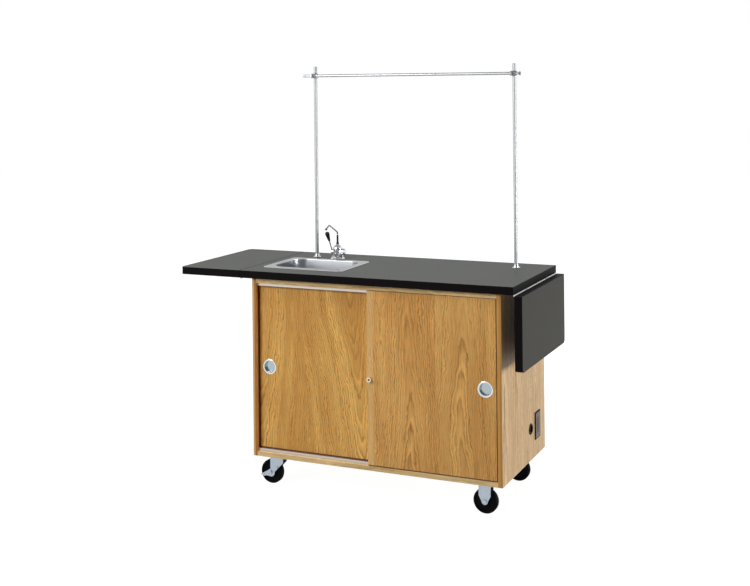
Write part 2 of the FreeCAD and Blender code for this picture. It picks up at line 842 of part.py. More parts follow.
def pump_body():
    """A domed casting with a chamber to the right and a pivot boss to the left."""
    foot = faucet_base_height
    profile = [
        (0, foot),
        (pump_foot_radius, foot),
        (pump_foot_radius, foot + pump_foot_rim),
        (pump_dome_radius, pump_foot_height),
        (pump_dome_radius, pump_groove_low),
        (pump_dome_radius - pump_groove, pump_groove_low + pump_groove),
        (pump_dome_radius - pump_groove, pump_groove_high),
        (pump_dome_radius, pump_groove_high + pump_groove),
        (pump_dome_radius, pump_dome_height),
        (pump_top_radius, pump_dome_height),
        (pump_top_radius, pump_top_height),
        (spout_pivot_radius + hinge_fit, pump_top_height),
        (spout_pivot_radius + hinge_fit, pump_top_height - spout_pivot_depth - side_play),
        (0, pump_top_height - spout_pivot_depth - side_play),
    ]
    centre = (faucet_x, faucet_y, top_z)
    barrel = turned(profile, centre, (0, 0, 1))
    dome = Part.makeSphere(pump_dome_radius, Vector(faucet_x, faucet_y, top_z + pump_dome_height))
    level = top_z + pump_chamber_height
    chamber_end = faucet_x + pump_chamber_reach
    chamber = bar(pump_chamber_radius, (faucet_x, faucet_y, level), (chamber_end, faucet_y, level))
    end_edges = [edge for edge in chamber.Edges if edge.BoundBox.XMin > chamber_end - overrun]
    chamber = chamber.makeFillet(pump_chamber_rim, end_edges)
    boss_end = faucet_x - pump_boss_reach
    boss = bar(pump_boss_radius, (faucet_x, faucet_y, level), (boss_end, faucet_y, level))
    pin_end = boss_end - pump_pin_length
    pin = bar(pump_pin_radius, (boss_end, faucet_y, level), (pin_end, faucet_y, level))
    head = bar(
        pump_pin_head_radius,
        (pin_end, faucet_y, level),
        (pin_end - pump_pin_head_length, faucet_y, level),
    )
    socket = bar(
        spout_pivot_radius + hinge_fit,
        (faucet_x, faucet_y, top_z + pump_top_height - spout_pivot_depth - side_play),
        (faucet_x, faucet_y, top_z + pump_top_height + overrun),
    )
    return cut(join([barrel, dome, chamber, boss, pin, head]), [socket])


def pump_lever():
    """A hub on the pump's pin with a rod that leans to the front, and its grip."""
    level = top_z + pump_chamber_height
    near = faucet_x - pump_boss_reach - side_play
    far = near - lever_hub_length
    middle_x = (near + far) / 2
    lean = math.radians(lever_lean_degrees)
    direction = Vector(0, -math.sin(lean), math.cos(lean))
    pivot = Vector(middle_x, faucet_y, level)
    rod_end = pivot + direction * (lever_rod_length + lever_grip_socket)
    hub = bar(lever_hub_radius, (near, faucet_y, level), (far, faucet_y, level))
    rod = bar(lever_rod_radius, tuple(pivot), tuple(rod_end))
    bore = bar(
        pump_pin_radius + hinge_fit,
        (near + overrun, faucet_y, level),
        (far - overrun, faucet_y, level),
    )
    keep("pump_lever", cut(join([hub, rod]), [bore]))
    socket = lever_rod_radius + tube_fit
    profile = [
        (socket, 0),
        (lever_grip_low_radius, 0),
        (lever_grip_high_radius, lever_grip_length - lever_grip_round * 2),
        (lever_grip_high_radius, lever_grip_length - lever_grip_round),
        (lever_grip_high_radius - lever_grip_round / 2, lever_grip_length - lever_grip_round / 4),
        (lever_grip_high_radius - lever_grip_round, lever_grip_length),
        (0, lever_grip_length),
        (0, lever_grip_socket + tube_fit),
        (socket, lever_grip_socket + tube_fit),
    ]
    keep("lever_grip", turned(profile, tuple(pivot + direction * lever_rod_length), tuple(direction)))


def bent_path(points, radii):
    """Straight runs joined by tangent arcs."""
    edges = []
    start = points[0]
    for corner, following, radius in zip(points[1:-1], points[2:], radii):
        inward = (corner - start).normalize()
        outward = (following - corner).normalize()
        half_turn = inward.getAngle(outward) / 2
        reach = radius * math.tan(half_turn)
        arc_start = corner - inward * reach
        arc_end = corner + outward * reach
        to_centre = (outward - inward).normalize()
        middle = corner + to_centre * (radius / math.cos(half_turn) - radius)
        edges.append(Part.makeLine(start, arc_start))
        edges.append(Part.Arc(arc_start, middle, arc_end).toShape())
        start = arc_end
    edges.append(Part.makeLine(start, points[-1]))
    return Part.Wire(edges)


def spout():
    """A bent tube over the sink, on a collar that turns on the pump body."""
    place = Vector(faucet_x, faucet_y, top_z)
    bottom = place + Vector(0, 0, pump_top_height + side_play)
    points = [
        bottom,
        place + Vector(0, 0, spout_rise),
        place + Vector(0, -spout_peak_reach, spout_peak_height),
        place + Vector(0, -spout_tip_reach, spout_tip_height),
    ]
    path = bent_path(points, (spout_low_bend_radius, spout_high_bend_radius))
    ring = Part.Wire(Part.makeCircle(spout_radius, bottom, Vector(0, 0, 1)))
    tube = path.makePipeShell([ring], True, False)
    collar_profile = [
        (0, 0),
        (spout_collar_radius, 0),
        (spout_collar_radius, spout_collar_height / 2),
        (spout_radius, spout_collar_height),
        (0, spout_collar_height),
    ]
    collar = turned(collar_profile, tuple(bottom), (0, 0, 1))
    pivot_low = bottom - Vector(0, 0, spout_pivot_depth)
    pivot = bar(spout_pivot_radius, tuple(pivot_low), tuple(bottom + Vector(0, 0, overrun)))
    tip = points[-1]
    back = (points[-2] - tip).normalize()
    nozzle = bar(spout_tip_collar_radius, tuple(tip), tuple(tip + back * spout_tip_collar_length))
    bore = bar(spout_bore_radius, tuple(tip - back * overrun), tuple(tip + back * spout_bore_depth))
    return cut(join([tube, collar, pivot, nozzle]), [bore])


def faucet():
    keep("faucet_base", faucet_base())
    keep("pump_body", pump_body())
    pump_lever()
    keep("spout", spout())


# Rod frame: two sockets, two uprights, a crossbar and its clamps with thumbscrews
def rod_socket(x):
    """A flanged socket through the worktop; the upright stands on its floor."""
    bore = rod_radius + socket_fit
    low = -worktop_thickness - socket_sleeve_length
    profile = [
        (0, low),
        (socket_collar_radius, low),
        (socket_collar_radius, 0),
        (socket_flange_radius, 0),
        (socket_flange_radius, socket_flange_height / 2),
        (socket_flange_radius - socket_flange_height / 2, socket_flange_height),
        (socket_collar_radius, socket_flange_height),
        (socket_collar_radius - socket_flange_height / 4, socket_collar_height),
        (bore, socket_collar_height),
        (bore, low + socket_floor),
        (0, low + socket_floor),
    ]
    return turned(profile, (x, rod_y, top_z), (0, 0, 1))


def upright(x):
    low = under_z - socket_sleeve_length + socket_floor
    profile = [
        (0, low),
        (rod_radius, low),
        (rod_radius, rod_top - rod_end_chamfer),
        (rod_radius - rod_end_chamfer, rod_top),
        (0, rod_top),
    ]
    return turned(profile, (x, rod_y, 0), (0, 0, 1))


def clamp(x, outward):
    """A right-angle clamp: a collar for the upright, one for the crossbar, two bosses."""
    z = crossbar_z
    half = clamp_height / 2
    reach = clamp_width / 2
    upright_collar = bar(clamp_upright_radius, (x, rod_y, z - half), (x, rod_y, z + half))
    crossbar_collar = bar(clamp_crossbar_radius, (x - reach, crossbar_y, z), (x + reach, crossbar_y, z))
    front_boss_end = crossbar_y - clamp_crossbar_radius - clamp_boss_reach
    front_boss = bar(clamp_boss_radius, (x, crossbar_y, z), (x, front_boss_end, z))
    side_boss_end = x + outward * (clamp_upright_radius + clamp_boss_reach)
    side_boss = bar(clamp_boss_radius, (x, rod_y, z), (side_boss_end, rod_y, z))
    tools = [
        bar(rod_radius + socket_fit, (x, rod_y, z - half - overrun), (x, rod_y, z + half + overrun)),
        bar(
            crossbar_radius + socket_fit,
            (x - reach - overrun, crossbar_y, z),
            (x + reach + overrun, crossbar_y, z),
        ),
        bar(screw_radius + hinge_fit, (x, crossbar_y, z), (x, front_boss_end - overrun, z)),
        bar(screw_radius + hinge_fit, (x, rod_y, z), (side_boss_end + outward * overrun, rod_y, z)),
    ]
    return cut(join([upright_collar, crossbar_collar, front_boss, side_boss]), tools)


def thumbscrew(tip, direction, boss_end):
    """A screw from its tip, out past a boss, with a flat wing to turn it by."""
    tip = Vector(*tip)
    direction = Vector(*direction)
    neck = boss_end + screw_reach / 2
    shank = bar(screw_radius, tuple(tip), tuple(tip + direction * (neck + wing_hub_length)))
    hub_start = tip + direction * neck
    hub = bar(wing_hub_radius, tuple(hub_start), tuple(hub_start + direction * wing_hub_length))
    wing = rounded_block(
        about(0, wing_span / 2),
        about(0, wing_height / 2),
        about(0, wing_thickness / 2),
        wing_height * wing_corner_share,
    )
    # The wing's height lies along the screw, its span across it
    across = Vector(0, 0, 1)
    normal = across.cross(direction)
    wing.Placement = FreeCAD.Placement(FreeCAD.Matrix(
        across.x, direction.x, normal.x, 0,
        across.y, direction.y, normal.y, 0,
        across.z, direction.z, normal.z, 0,
        0, 0, 0, 1,
    ))
    wing.translate(hub_start + direction * (wing_hub_length / 2 + wing_height / 2))
    return join([shank, hub, wing])


def rod_frame():
    left, right = about(0, rod_spacing / 2)
    keep("rod_sockets", rod_socket(left), rod_socket(right))
    keep("upright_rods", upright(left), upright(right))
    ends = (left - crossbar_overhang_left, right + crossbar_overhang_right)
    profile = [
        (0, 0),
        (crossbar_radius - rod_end_chamfer, 0),
        (crossbar_radius, rod_end_chamfer),
        (crossbar_radius, ends[1] - ends[0] - rod_end_chamfer),
        (crossbar_radius - rod_end_chamfer, ends[1] - ends[0]),
        (0, ends[1] - ends[0]),
    ]
    keep("crossbar", turned(profile, (ends[0], crossbar_y, crossbar_z), (1, 0, 0)))
    keep("rod_clamps", clamp(left, -1), clamp(right, 1))
    front_tip = crossbar_y - crossbar_radius - screw_tip_gap
    front_boss = clamp_crossbar_radius + clamp_boss_reach - crossbar_radius
    side_boss = clamp_upright_radius + clamp_boss_reach - rod_radius
    for side, x, outward in (("left", left, -1), ("right", right, 1)):
        side_tip = x + outward * (rod_radius + screw_tip_gap)
        front = thumbscrew((x, front_tip, crossbar_z), (0, -1, 0), front_boss)
        keep("thumbscrew_crossbar_" + side, front)
        to_side = thumbscrew((side_tip, rod_y, crossbar_z), (outward, 0, 0), side_boss)
        keep("thumbscrew_upright_" + side, to_side)


# Drop leaves on piano hinges with interleaved knuckles, and locking brackets between them
def knuckle_runs():
    """Lengths of piano hinge before, between and after the two brackets of a leaf."""
    cuts = []
    for share in bracket_place_share:
        middle = worktop_depth * share
        half = bracket_length / 2 + bracket_clearance
        cuts.append((middle - half, middle + half))
    edges = [hinge_end_inset] + [place for pair in cuts for place in pair]
    edges.append(worktop_depth - hinge_end_inset)
    return list(zip(edges[::2], edges[1::2]))


def hinge_flap_solid(run, fixed):
    """One flap of a length of hinge about the origin: +X is the leaf's side."""
    low, high = run
    count = max(3, round((high - low) / knuckle_length))
    count += 1 - count % 2
    pitch = (high - low) / count
    way = -1 if fixed else 1
    inner = way * (hinge_barrel_radius + hinge_barrel_clearance)
    sheet_z = (hinge_drop - hinge_sheet, hinge_drop)
    pieces = [box((inner, way * hinge_flap), run, sheet_z)]
    holes = []
    first = 0 if fixed else 1
    for index in range(first, count, 2):
        start = low + index * pitch + knuckle_gap / 2
        end = start + pitch - knuckle_gap
        pieces.append(bar(hinge_barrel_radius, (0, start, 0), (0, end, 0)))
        pieces.append(box((0, inner), (start, end), sheet_z))
        bore = hinge_pin_radius + hinge_fit
        holes.append(bar(bore, (0, start - overrun, 0), (0, end + overrun, 0)))
    if fixed:
        pieces.append(bar(hinge_pin_radius, (0, low, 0), (0, high, 0)))
        return join(pieces)
    return cut(join(pieces), holes)


def bracket_pieces(share):
    """A locking fold bracket about the origin: the plate's half and the arm's half."""
    middle = worktop_depth * share
    half = bracket_length / 2
    span = about(middle, half)
    sheet_z = (hinge_drop - bracket_sheet, hinge_drop)
    lug = bracket_lug_width / 2
    clear = hinge_barrel_radius + hinge_barrel_clearance
    plate = [box((-clear, -bracket_reach), span, sheet_z)]
    for way in (-1, 1):
        near = lug + side_play
        ear_y = (middle + way * near, middle + way * (near + bracket_ear_thickness))
        ear_z = (-bracket_eye_radius, hinge_drop - bracket_sheet)
        plate.append(box((0, -bracket_reach), ear_y, ear_z))
        heel = [
            (-clear, -bracket_eye_radius),
            (-bracket_reach, -bracket_eye_radius),
            (-bracket_reach * bracket_rib_share, -bracket_rib_depth),
            (-clear, -bracket_rib_depth),
        ]
        web = outline(heel, lambda x, z: Vector(x, min(ear_y), z))
        plate.append(web.extrude(Vector(0, bracket_ear_thickness, 0)))
        plate.append(bar(bracket_eye_radius, (0, ear_y[0], 0), (0, ear_y[1], 0)))
    pin_reach = lug + side_play + bracket_ear_thickness + bracket_pin_head
    plate.append(bar(bracket_pin_radius, (0, middle - pin_reach, 0), (0, middle + pin_reach, 0)))
    arm = [box((clear, bracket_reach), span, sheet_z)]
    rib = [
        (0, -bracket_eye_radius),
        (clear, -bracket_rib_depth),
        (bracket_reach * bracket_rib_share, -bracket_rib_depth),
        (bracket_reach, 0),
        (bracket_reach, hinge_drop - bracket_sheet),
        (0, hinge_drop - bracket_sheet),
    ]
    web = outline(rib, lambda x, z: Vector(x, middle - lug, z))
    arm.append(web.extrude(Vector(0, bracket_lug_width, 0)))
    arm.append(bar(bracket_eye_radius, (0, middle - lug, 0), (0, middle + lug, 0)))
    bore_ends = ((0, middle - lug - overrun, 0), (0, middle + lug + overrun, 0))
    bore = bar(bracket_pin_radius + hinge_fit, *bore_ends)
    return join(plate), cut(join(arm), [bore])


def leaf_board():
    """A leaf in its raised place about the hinge, its free corners rounded."""
    start = leaf_gap / 2
    span = (start, start + leaf_width)
    board = box(span, (0, worktop_depth), (hinge_drop, hinge_drop + worktop_thickness))
    corners = []
    for edge in board.Edges:
        bounds = edge.BoundBox
        if bounds.XMin > span[1] - overrun and bounds.ZLength > overrun:
            corners.append(edge)
    board = board.makeFillet(leaf_corner_radius, corners)
    return chamfered_top(board, hinge_drop + worktop_thickness)


def place_at_hinge(solid, side, hanging):
    """Put a solid that is drawn about the right hinge on either side, raised or hanging."""
    placed = solid.copy()
    if side == "left":
        placed = placed.mirror(Vector(0, 0, 0), Vector(1, 0, 0))
    if hanging:
        placed.rotate(Vector(0, 0, 0), Vector(0, 1, 0), 90)
    placed.translate(Vector(hinge_x if side == "right" else -hinge_x, 0, hinge_z))
    return placed


def leaves():
    fixed_flaps = [hinge_flap_solid(run, True) for run in knuckle_runs()]
    moving_flaps = [hinge_flap_solid(run, False) for run in knuckle_runs()]
    brackets = [bracket_pieces(share) for share in bracket_place_share]
    both = ("left", "right")
    keep("hinge_fixed_flaps", *[place_at_hinge(f, s, False) for s in both for f in fixed_flaps])
    keep("bracket_plates", *[place_at_hinge(p, s, False) for s in both for p, arm in brackets])
    for side in both:
        hanging = side == "right"
        keep("leaf_" + side, place_at_hinge(leaf_board(), side, hanging))
        flaps = [place_at_hinge(flap, side, hanging) for flap in moving_flaps]
        keep("hinge_flaps_" + side, *flaps)
        arms = [place_at_hinge(arm, side, hanging) for plate, arm in brackets]
        keep("bracket_arms_" + side, *arms)


# Outlet: a metal box in the side, a receptacle with two buttons, and its cover plate
def wall_plate():
    face = cabinet_right
    outer = box(
        (face, face + plate_thickness),
        about(outlet_centre_y, plate_width / 2),
        about(outlet_centre_z, plate_height / 2),
    )
    front_edges = [e for e in outer.Edges if e.BoundBox.XMin > face + plate_thickness - overrun / 2]
    outer = outer.makeChamfer(plate_draft, front_edges)
    window = box(
        (face - overrun, face + plate_thickness + overrun),
        about(outlet_centre_y, plate_window_width / 2),
        about(outlet_centre_z, plate_window_height / 2),
    )
    return cut(outer, [window])


def outlet_box():
    """An open-fronted box let into the side, its rim flush with the outside."""
    face = cabinet_right
    outer = box(
        (face - box_depth, face),
        about(outlet_centre_y, box_width / 2),
        about(outlet_centre_z, box_height / 2),
    )
    hollow = box(
        (face - box_depth + box_wall, face + overrun),
        about(outlet_centre_y, box_width / 2 - box_wall),
        about(outlet_centre_z, box_height / 2 - box_wall),
    )
    return cut(outer, [hollow])


def outlet_buttons():
    """The places of the two buttons: name and height."""
    low, high = about(outlet_centre_z, button_spacing / 2)
    return (("test_button", high), ("reset_button", low))


def receptacle():
    """A moulded body with two three-slot outlets and pockets for the two buttons."""
    face = cabinet_right + plate_thickness + receptacle_proud
    half_width = plate_window_width / 2 - receptacle_clearance
    half_height = plate_window_height / 2 - receptacle_clearance
    body = box(
        (face - receptacle_depth, face),
        about(outlet_centre_y, half_width),
        about(outlet_centre_z, half_height),
    )
    strap = box(
        (cabinet_right - strap_thickness, cabinet_right),
        about(outlet_centre_y, half_width),
        about(outlet_centre_z, box_height / 2 - box_wall),
    )
    deep = (face - slot_depth, face + overrun)
    tools = []
    for way in (-1, 1):
        centre_z = outlet_centre_z + way * outlet_spacing / 2
        ground_z, slots_z = about(centre_z, ground_drop / 2)
        for slot_y in about(outlet_centre_y, slot_spacing / 2):
            tools.append(box(deep, about(slot_y, slot_width / 2), about(slots_z, slot_height / 2)))
        ground_start, ground_end = [(x, outlet_centre_y, ground_z) for x in deep]
        tools.append(bar(ground_radius, ground_start, ground_end))
    for name, z in outlet_buttons():
        tools.append(box(
            (face - button_length - button_proud * 2, face + overrun),
            about(outlet_centre_y, button_width / 2 + button_clearance),
            about(z, button_height / 2 + button_clearance),
        ))
    return cut(join([body, strap]), tools)


def outlet():
    keep("wall_plate", wall_plate())
    keep("outlet_box", outlet_box())
    keep("receptacle", receptacle())
    face = cabinet_right + plate_thickness + receptacle_proud
    for name, z in outlet_buttons():
        keep(name, box(
            (face + button_proud - button_length, face + button_proud),
            about(outlet_centre_y, button_width / 2),
            about(z, button_height / 2),
        ))


def power_inlet():
    """A round flanged inlet: a recess in the side with three blades for a cord's socket."""
    face = cabinet_right
    profile = [
        (0, -inlet_body_depth),
        (inlet_body_radius, -inlet_body_depth),
        (inlet_body_radius, 0),
        (inlet_flange_radius, 0),
        (inlet_flange_radius, inlet_flange_thickness / 2),
        (inlet_flange_radius - inlet_flange_thickness / 2, inlet_flange_thickness),
        (inlet_recess_radius, inlet_flange_thickness),
        (inlet_recess_radius, inlet_flange_thickness - inlet_recess_depth),
        (0, inlet_flange_thickness - inlet_recess_depth),
    ]
    body = turned(profile, (face, inlet_centre_y, inlet_centre_z), (1, 0, 0))
    root_x = face + inlet_flange_thickness - inlet_recess_depth
    pieces = [body]
    for side in (-1, 1):
        y = inlet_centre_y + side * inlet_blade_spacing / 2
        pieces.append(box(
            (root_x, root_x + inlet_blade_length),
            about(y, inlet_blade_thickness / 2),
            about(inlet_centre_z, inlet_blade_width / 2),
        ))
    ground_z = inlet_centre_z - inlet_ground_rise
    pieces.append(bar(
        inlet_ground_radius,
        (root_x, inlet_centre_y, ground_z),
        (root_x + inlet_blade_length, inlet_centre_y, ground_z),
    ))
    keep("power_inlet", join(pieces))


# Casters: two swivel casters with brake pedals on the left, two rigid ones on the right
def wheel(x, y):
    half = wheel_width / 2
    hub = wheel_hub_width / 2
    right_half = [
        (wheel_radius - wheel_shoulder, half),
        (wheel_radius - wheel_shoulder / 3, half - wheel_shoulder / 3),
        (wheel_radius, half - wheel_shoulder),
    ]
    profile = [
        (axle_radius + hinge_fit, -hub),
        (wheel_hub_radius, -hub),
        (wheel_hub_radius + side_play, wheel_dish_depth - half),
        (wheel_dish_radius, wheel_dish_depth - half),
        (wheel_dish_radius + wheel_dish_depth, -half),
    ]
    profile += [(r, -h) for r, h in right_half]
    profile += [(r, h) for r, h in reversed(right_half)]
    profile += [
        (wheel_dish_radius + wheel_dish_depth, half),
        (wheel_dish_radius, half - wheel_dish_depth),
        (wheel_hub_radius + side_play, half - wheel_dish_depth),
        (wheel_hub_radius, hub),
        (axle_radius + hinge_fit, hub),
    ]
    return turned(profile, (x, y, axle_z), (0, 1, 0))


def caster_plate(x, y):
    return rounded_block(
        about(x, caster_plate_length / 2),
        about(y, caster_plate_width / 2),
        (cabinet_bottom - caster_plate_thickness, cabinet_bottom),
        caster_plate_corner_radius,
    )


def swivel_plate(x, y):
    """The top plate of a swivel caster with its race and the kingpin."""
    plate_low = cabinet_bottom - caster_plate_thickness
    race_low = plate_low - race_height
    race = bar(race_radius, (x, y, race_low), (x, y, plate_low))
    pin_low = race_low - race_play - fork_top_thickness - race_play
    pin = bar(kingpin_radius, (x, y, pin_low), (x, y, race_low))
    head = bar(kingpin_head_radius, (x, y, pin_low - kingpin_head_height), (x, y, pin_low))
    return join([caster_plate(x, y), race, pin, head])


def axle(x, y, start, end):
    """An axle bolt with a head beyond each cheek."""
    shaft = bar(axle_radius, (x, y + start, axle_z), (x, y + end, axle_z))
    near_head = bar(axle_head_radius, (x, y + start, axle_z), (x, y + start - axle_head_length, axle_z))
    far_head = bar(axle_head_radius, (x, y + end, axle_z), (x, y + end + axle_head_length, axle_z))
    return [shaft, near_head, far_head]


def cheek(points, nose, x, y):
    """A fork cheek in the plane of the wheel, with a round nose about the axle."""
    face = outline(points, lambda across, up: Vector(x + across, y, up))
    plate = face.extrude(Vector(0, fork_sheet, 0))
    eye = bar(fork_nose_radius, (x + nose, y, axle_z), (x + nose, y + fork_sheet, axle_z))
    return join([plate, eye])


def swivel_fork(x, y):
    """A fork under the race that trails the wheel to the left of the kingpin."""
    top = cabinet_bottom - caster_plate_thickness - race_height - race_play
    low = top - fork_top_thickness
    crown = bar(fork_top_radius, (x, y, low), (x, y, top))
    half_gap = fork_cheek_gap
    bridge = box(
        about(x, fork_top_radius),
        about(y, half_gap + fork_sheet),
        (low, top),
    )
    trail = swivel_trail
    slope = math.radians(fork_brace_slope_degrees)
    points = [
        (-fork_top_radius, top),
        (fork_top_radius, top),
        (fork_top_radius, low - fork_side_drop),
        (-trail + fork_nose_radius * math.cos(slope), axle_z - fork_nose_radius * math.sin(slope)),
        (-trail, axle_z - fork_nose_radius),
        (-fork_top_radius, axle_z),
    ]
    cheeks = [cheek(points, -trail, x, y + place) for place in (-half_gap - fork_sheet, half_gap)]
    outer = half_gap + fork_sheet
    bolt = axle(x - trail, y, -outer - side_play * 2 - pedal_sheet, outer)
    hole = bar(kingpin_radius + hinge_fit, (x, y, low - overrun), (x, y, top + overrun))
    return cut(join([crown, bridge] + cheeks + bolt), [hole])


def brake_pedal(x, y):
    """A stamped side lever on the axle, with a foot tab bent to the front."""
    centre_x = x - swivel_trail
    front = y - fork_cheek_gap - fork_sheet - side_play
    points = [(across * pedal_reach, up * pedal_reach) for across, up in pedal_outline_shares]
    face = outline(points, lambda across, up: Vector(centre_x + across, front, axle_z + up))
    lever = face.extrude(Vector(0, -pedal_sheet, 0))
    tip_across, tip_up = points[0]
    tab = box(
        (centre_x + tip_across, centre_x + tip_across + pedal_tab_length),
        (front - pedal_tab_depth, front),
        (axle_z + tip_up - pedal_sheet, axle_z + tip_up),
    )
    bore = bar(
        axle_radius + hinge_fit,
        (centre_x, front + overrun, axle_z),
        (centre_x, front - pedal_sheet - overrun, axle_z),
    )
    return cut(join([lever, tab]), [bore])


def rigid_fork(x, y):
    """A rigid caster's plate with two tapering legs and the axle bolt."""
    plate_low = cabinet_bottom - caster_plate_thickness
    half = rigid_fork_width / 2
    reach = fork_nose_radius
    points = [
        (-half, plate_low),
        (half, plate_low),
        (half, plate_low - rigid_fork_straight),
        (reach, axle_z),
        (0, axle_z - reach),
        (-reach, axle_z),
        (-half, plate_low - rigid_fork_straight),
    ]
    cheeks = [cheek(points, 0, x, y + place) for place in (-fork_cheek_gap - fork_sheet, fork_cheek_gap)]
    outer = fork_cheek_gap + fork_sheet
    return join([caster_plate(x, y)] + cheeks + axle(x, y, -outer, outer))


def casters():
    rows = (("front", caster_front_y), ("back", caster_back_y))
    keep("caster_plates", *[swivel_plate(swivel_x, y) for row, y in rows])
    keep("rigid_forks", *[rigid_fork(rigid_x, y) for row, y in rows])
    for row, y in rows:
        keep("fork_" + row + "_left", swivel_fork(swivel_x, y))
        keep("pedal_" + row + "_left", brake_pedal(swivel_x, y))
        keep("wheel_" + row + "_left", wheel(swivel_x - swivel_trail, y))
        keep("wheel_" + row + "_right", wheel(rigid_x, y))


os.makedirs("parts", exist_ok=True)
cabinet()
keep("upper_track", track(ceiling_z, -1))
keep("lower_track", track(floor_z, 1))
doors()
worktop()
sink()
water_containers()
faucet()
rod_frame()
leaves()
outlet()
power_inlet()
casters()
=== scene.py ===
# %% [markdown]
# A science demonstration station: an oak cabinet on casters with a black laminate
# worktop, two drop leaves, a steel sink with a hand pump faucet, and a rod frame.
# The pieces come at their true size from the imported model. This lesson gives each of
# them its finish, adds the small fittings, and sets up a camera and a studio.

# %% Load the frame
import math
import bmesh
import bpy
from mathutils import Euler, Matrix, Vector


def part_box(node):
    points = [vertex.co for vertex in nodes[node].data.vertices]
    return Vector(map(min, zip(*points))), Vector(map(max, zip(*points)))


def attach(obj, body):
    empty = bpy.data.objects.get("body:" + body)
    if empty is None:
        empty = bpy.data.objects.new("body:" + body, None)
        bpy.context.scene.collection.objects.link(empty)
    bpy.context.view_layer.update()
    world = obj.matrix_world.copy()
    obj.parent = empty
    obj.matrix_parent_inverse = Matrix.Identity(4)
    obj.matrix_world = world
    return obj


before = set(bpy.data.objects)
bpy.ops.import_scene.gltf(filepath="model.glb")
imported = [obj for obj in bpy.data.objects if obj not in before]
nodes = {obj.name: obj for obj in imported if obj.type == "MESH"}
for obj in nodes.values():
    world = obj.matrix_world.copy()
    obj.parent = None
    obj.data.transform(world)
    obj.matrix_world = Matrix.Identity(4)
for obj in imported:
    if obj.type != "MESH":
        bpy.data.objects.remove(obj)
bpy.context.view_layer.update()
print("pieces from the model:", len(nodes))

# %% [markdown]
# Shader maths reads best as plain sums. A Field wraps one socket of a material, and
# each operator adds the Math node that works it out. A pattern then takes one line
# here, where the node editor would show a page of boxes.

# %% Fields
class Field:
    """A socket that Python can do sums with."""

    def __init__(self, finish, socket):
        self.finish = finish
        self.socket = socket

    def maths(self, operation, *others):
        inputs = dict(enumerate([self, *others]))
        return self.finish.add("ShaderNodeMath", {"operation": operation}, inputs)

    def __add__(self, other):
        return self.maths("ADD", other)

    __radd__ = __add__

    def __mul__(self, other):
        return self.maths("MULTIPLY", other)

    __rmul__ = __mul__

    def __sub__(self, other):
        return self.maths("SUBTRACT", other)

    def __rsub__(self, other):
        return self.finish.add("ShaderNodeMath", {"operation": "SUBTRACT"}, {0: other, 1: self})

    def __truediv__(self, other):
        return self.maths("DIVIDE", other)


def length_of(first, second):
    """The length of a line from its two parts at a right angle."""
    return (first * first + second * second).maths("SQRT")


# %% [markdown]
# A Finish is one material with a Principled shader. Its add method makes any other node,
# sets the node up and fills its sockets. The other methods are the few patterns that
# wood, metal and plastic share. They all work in metres in the model's own frame, so a
# pore or a brush line gets its true size, and no picture has to be wrapped on a piece.

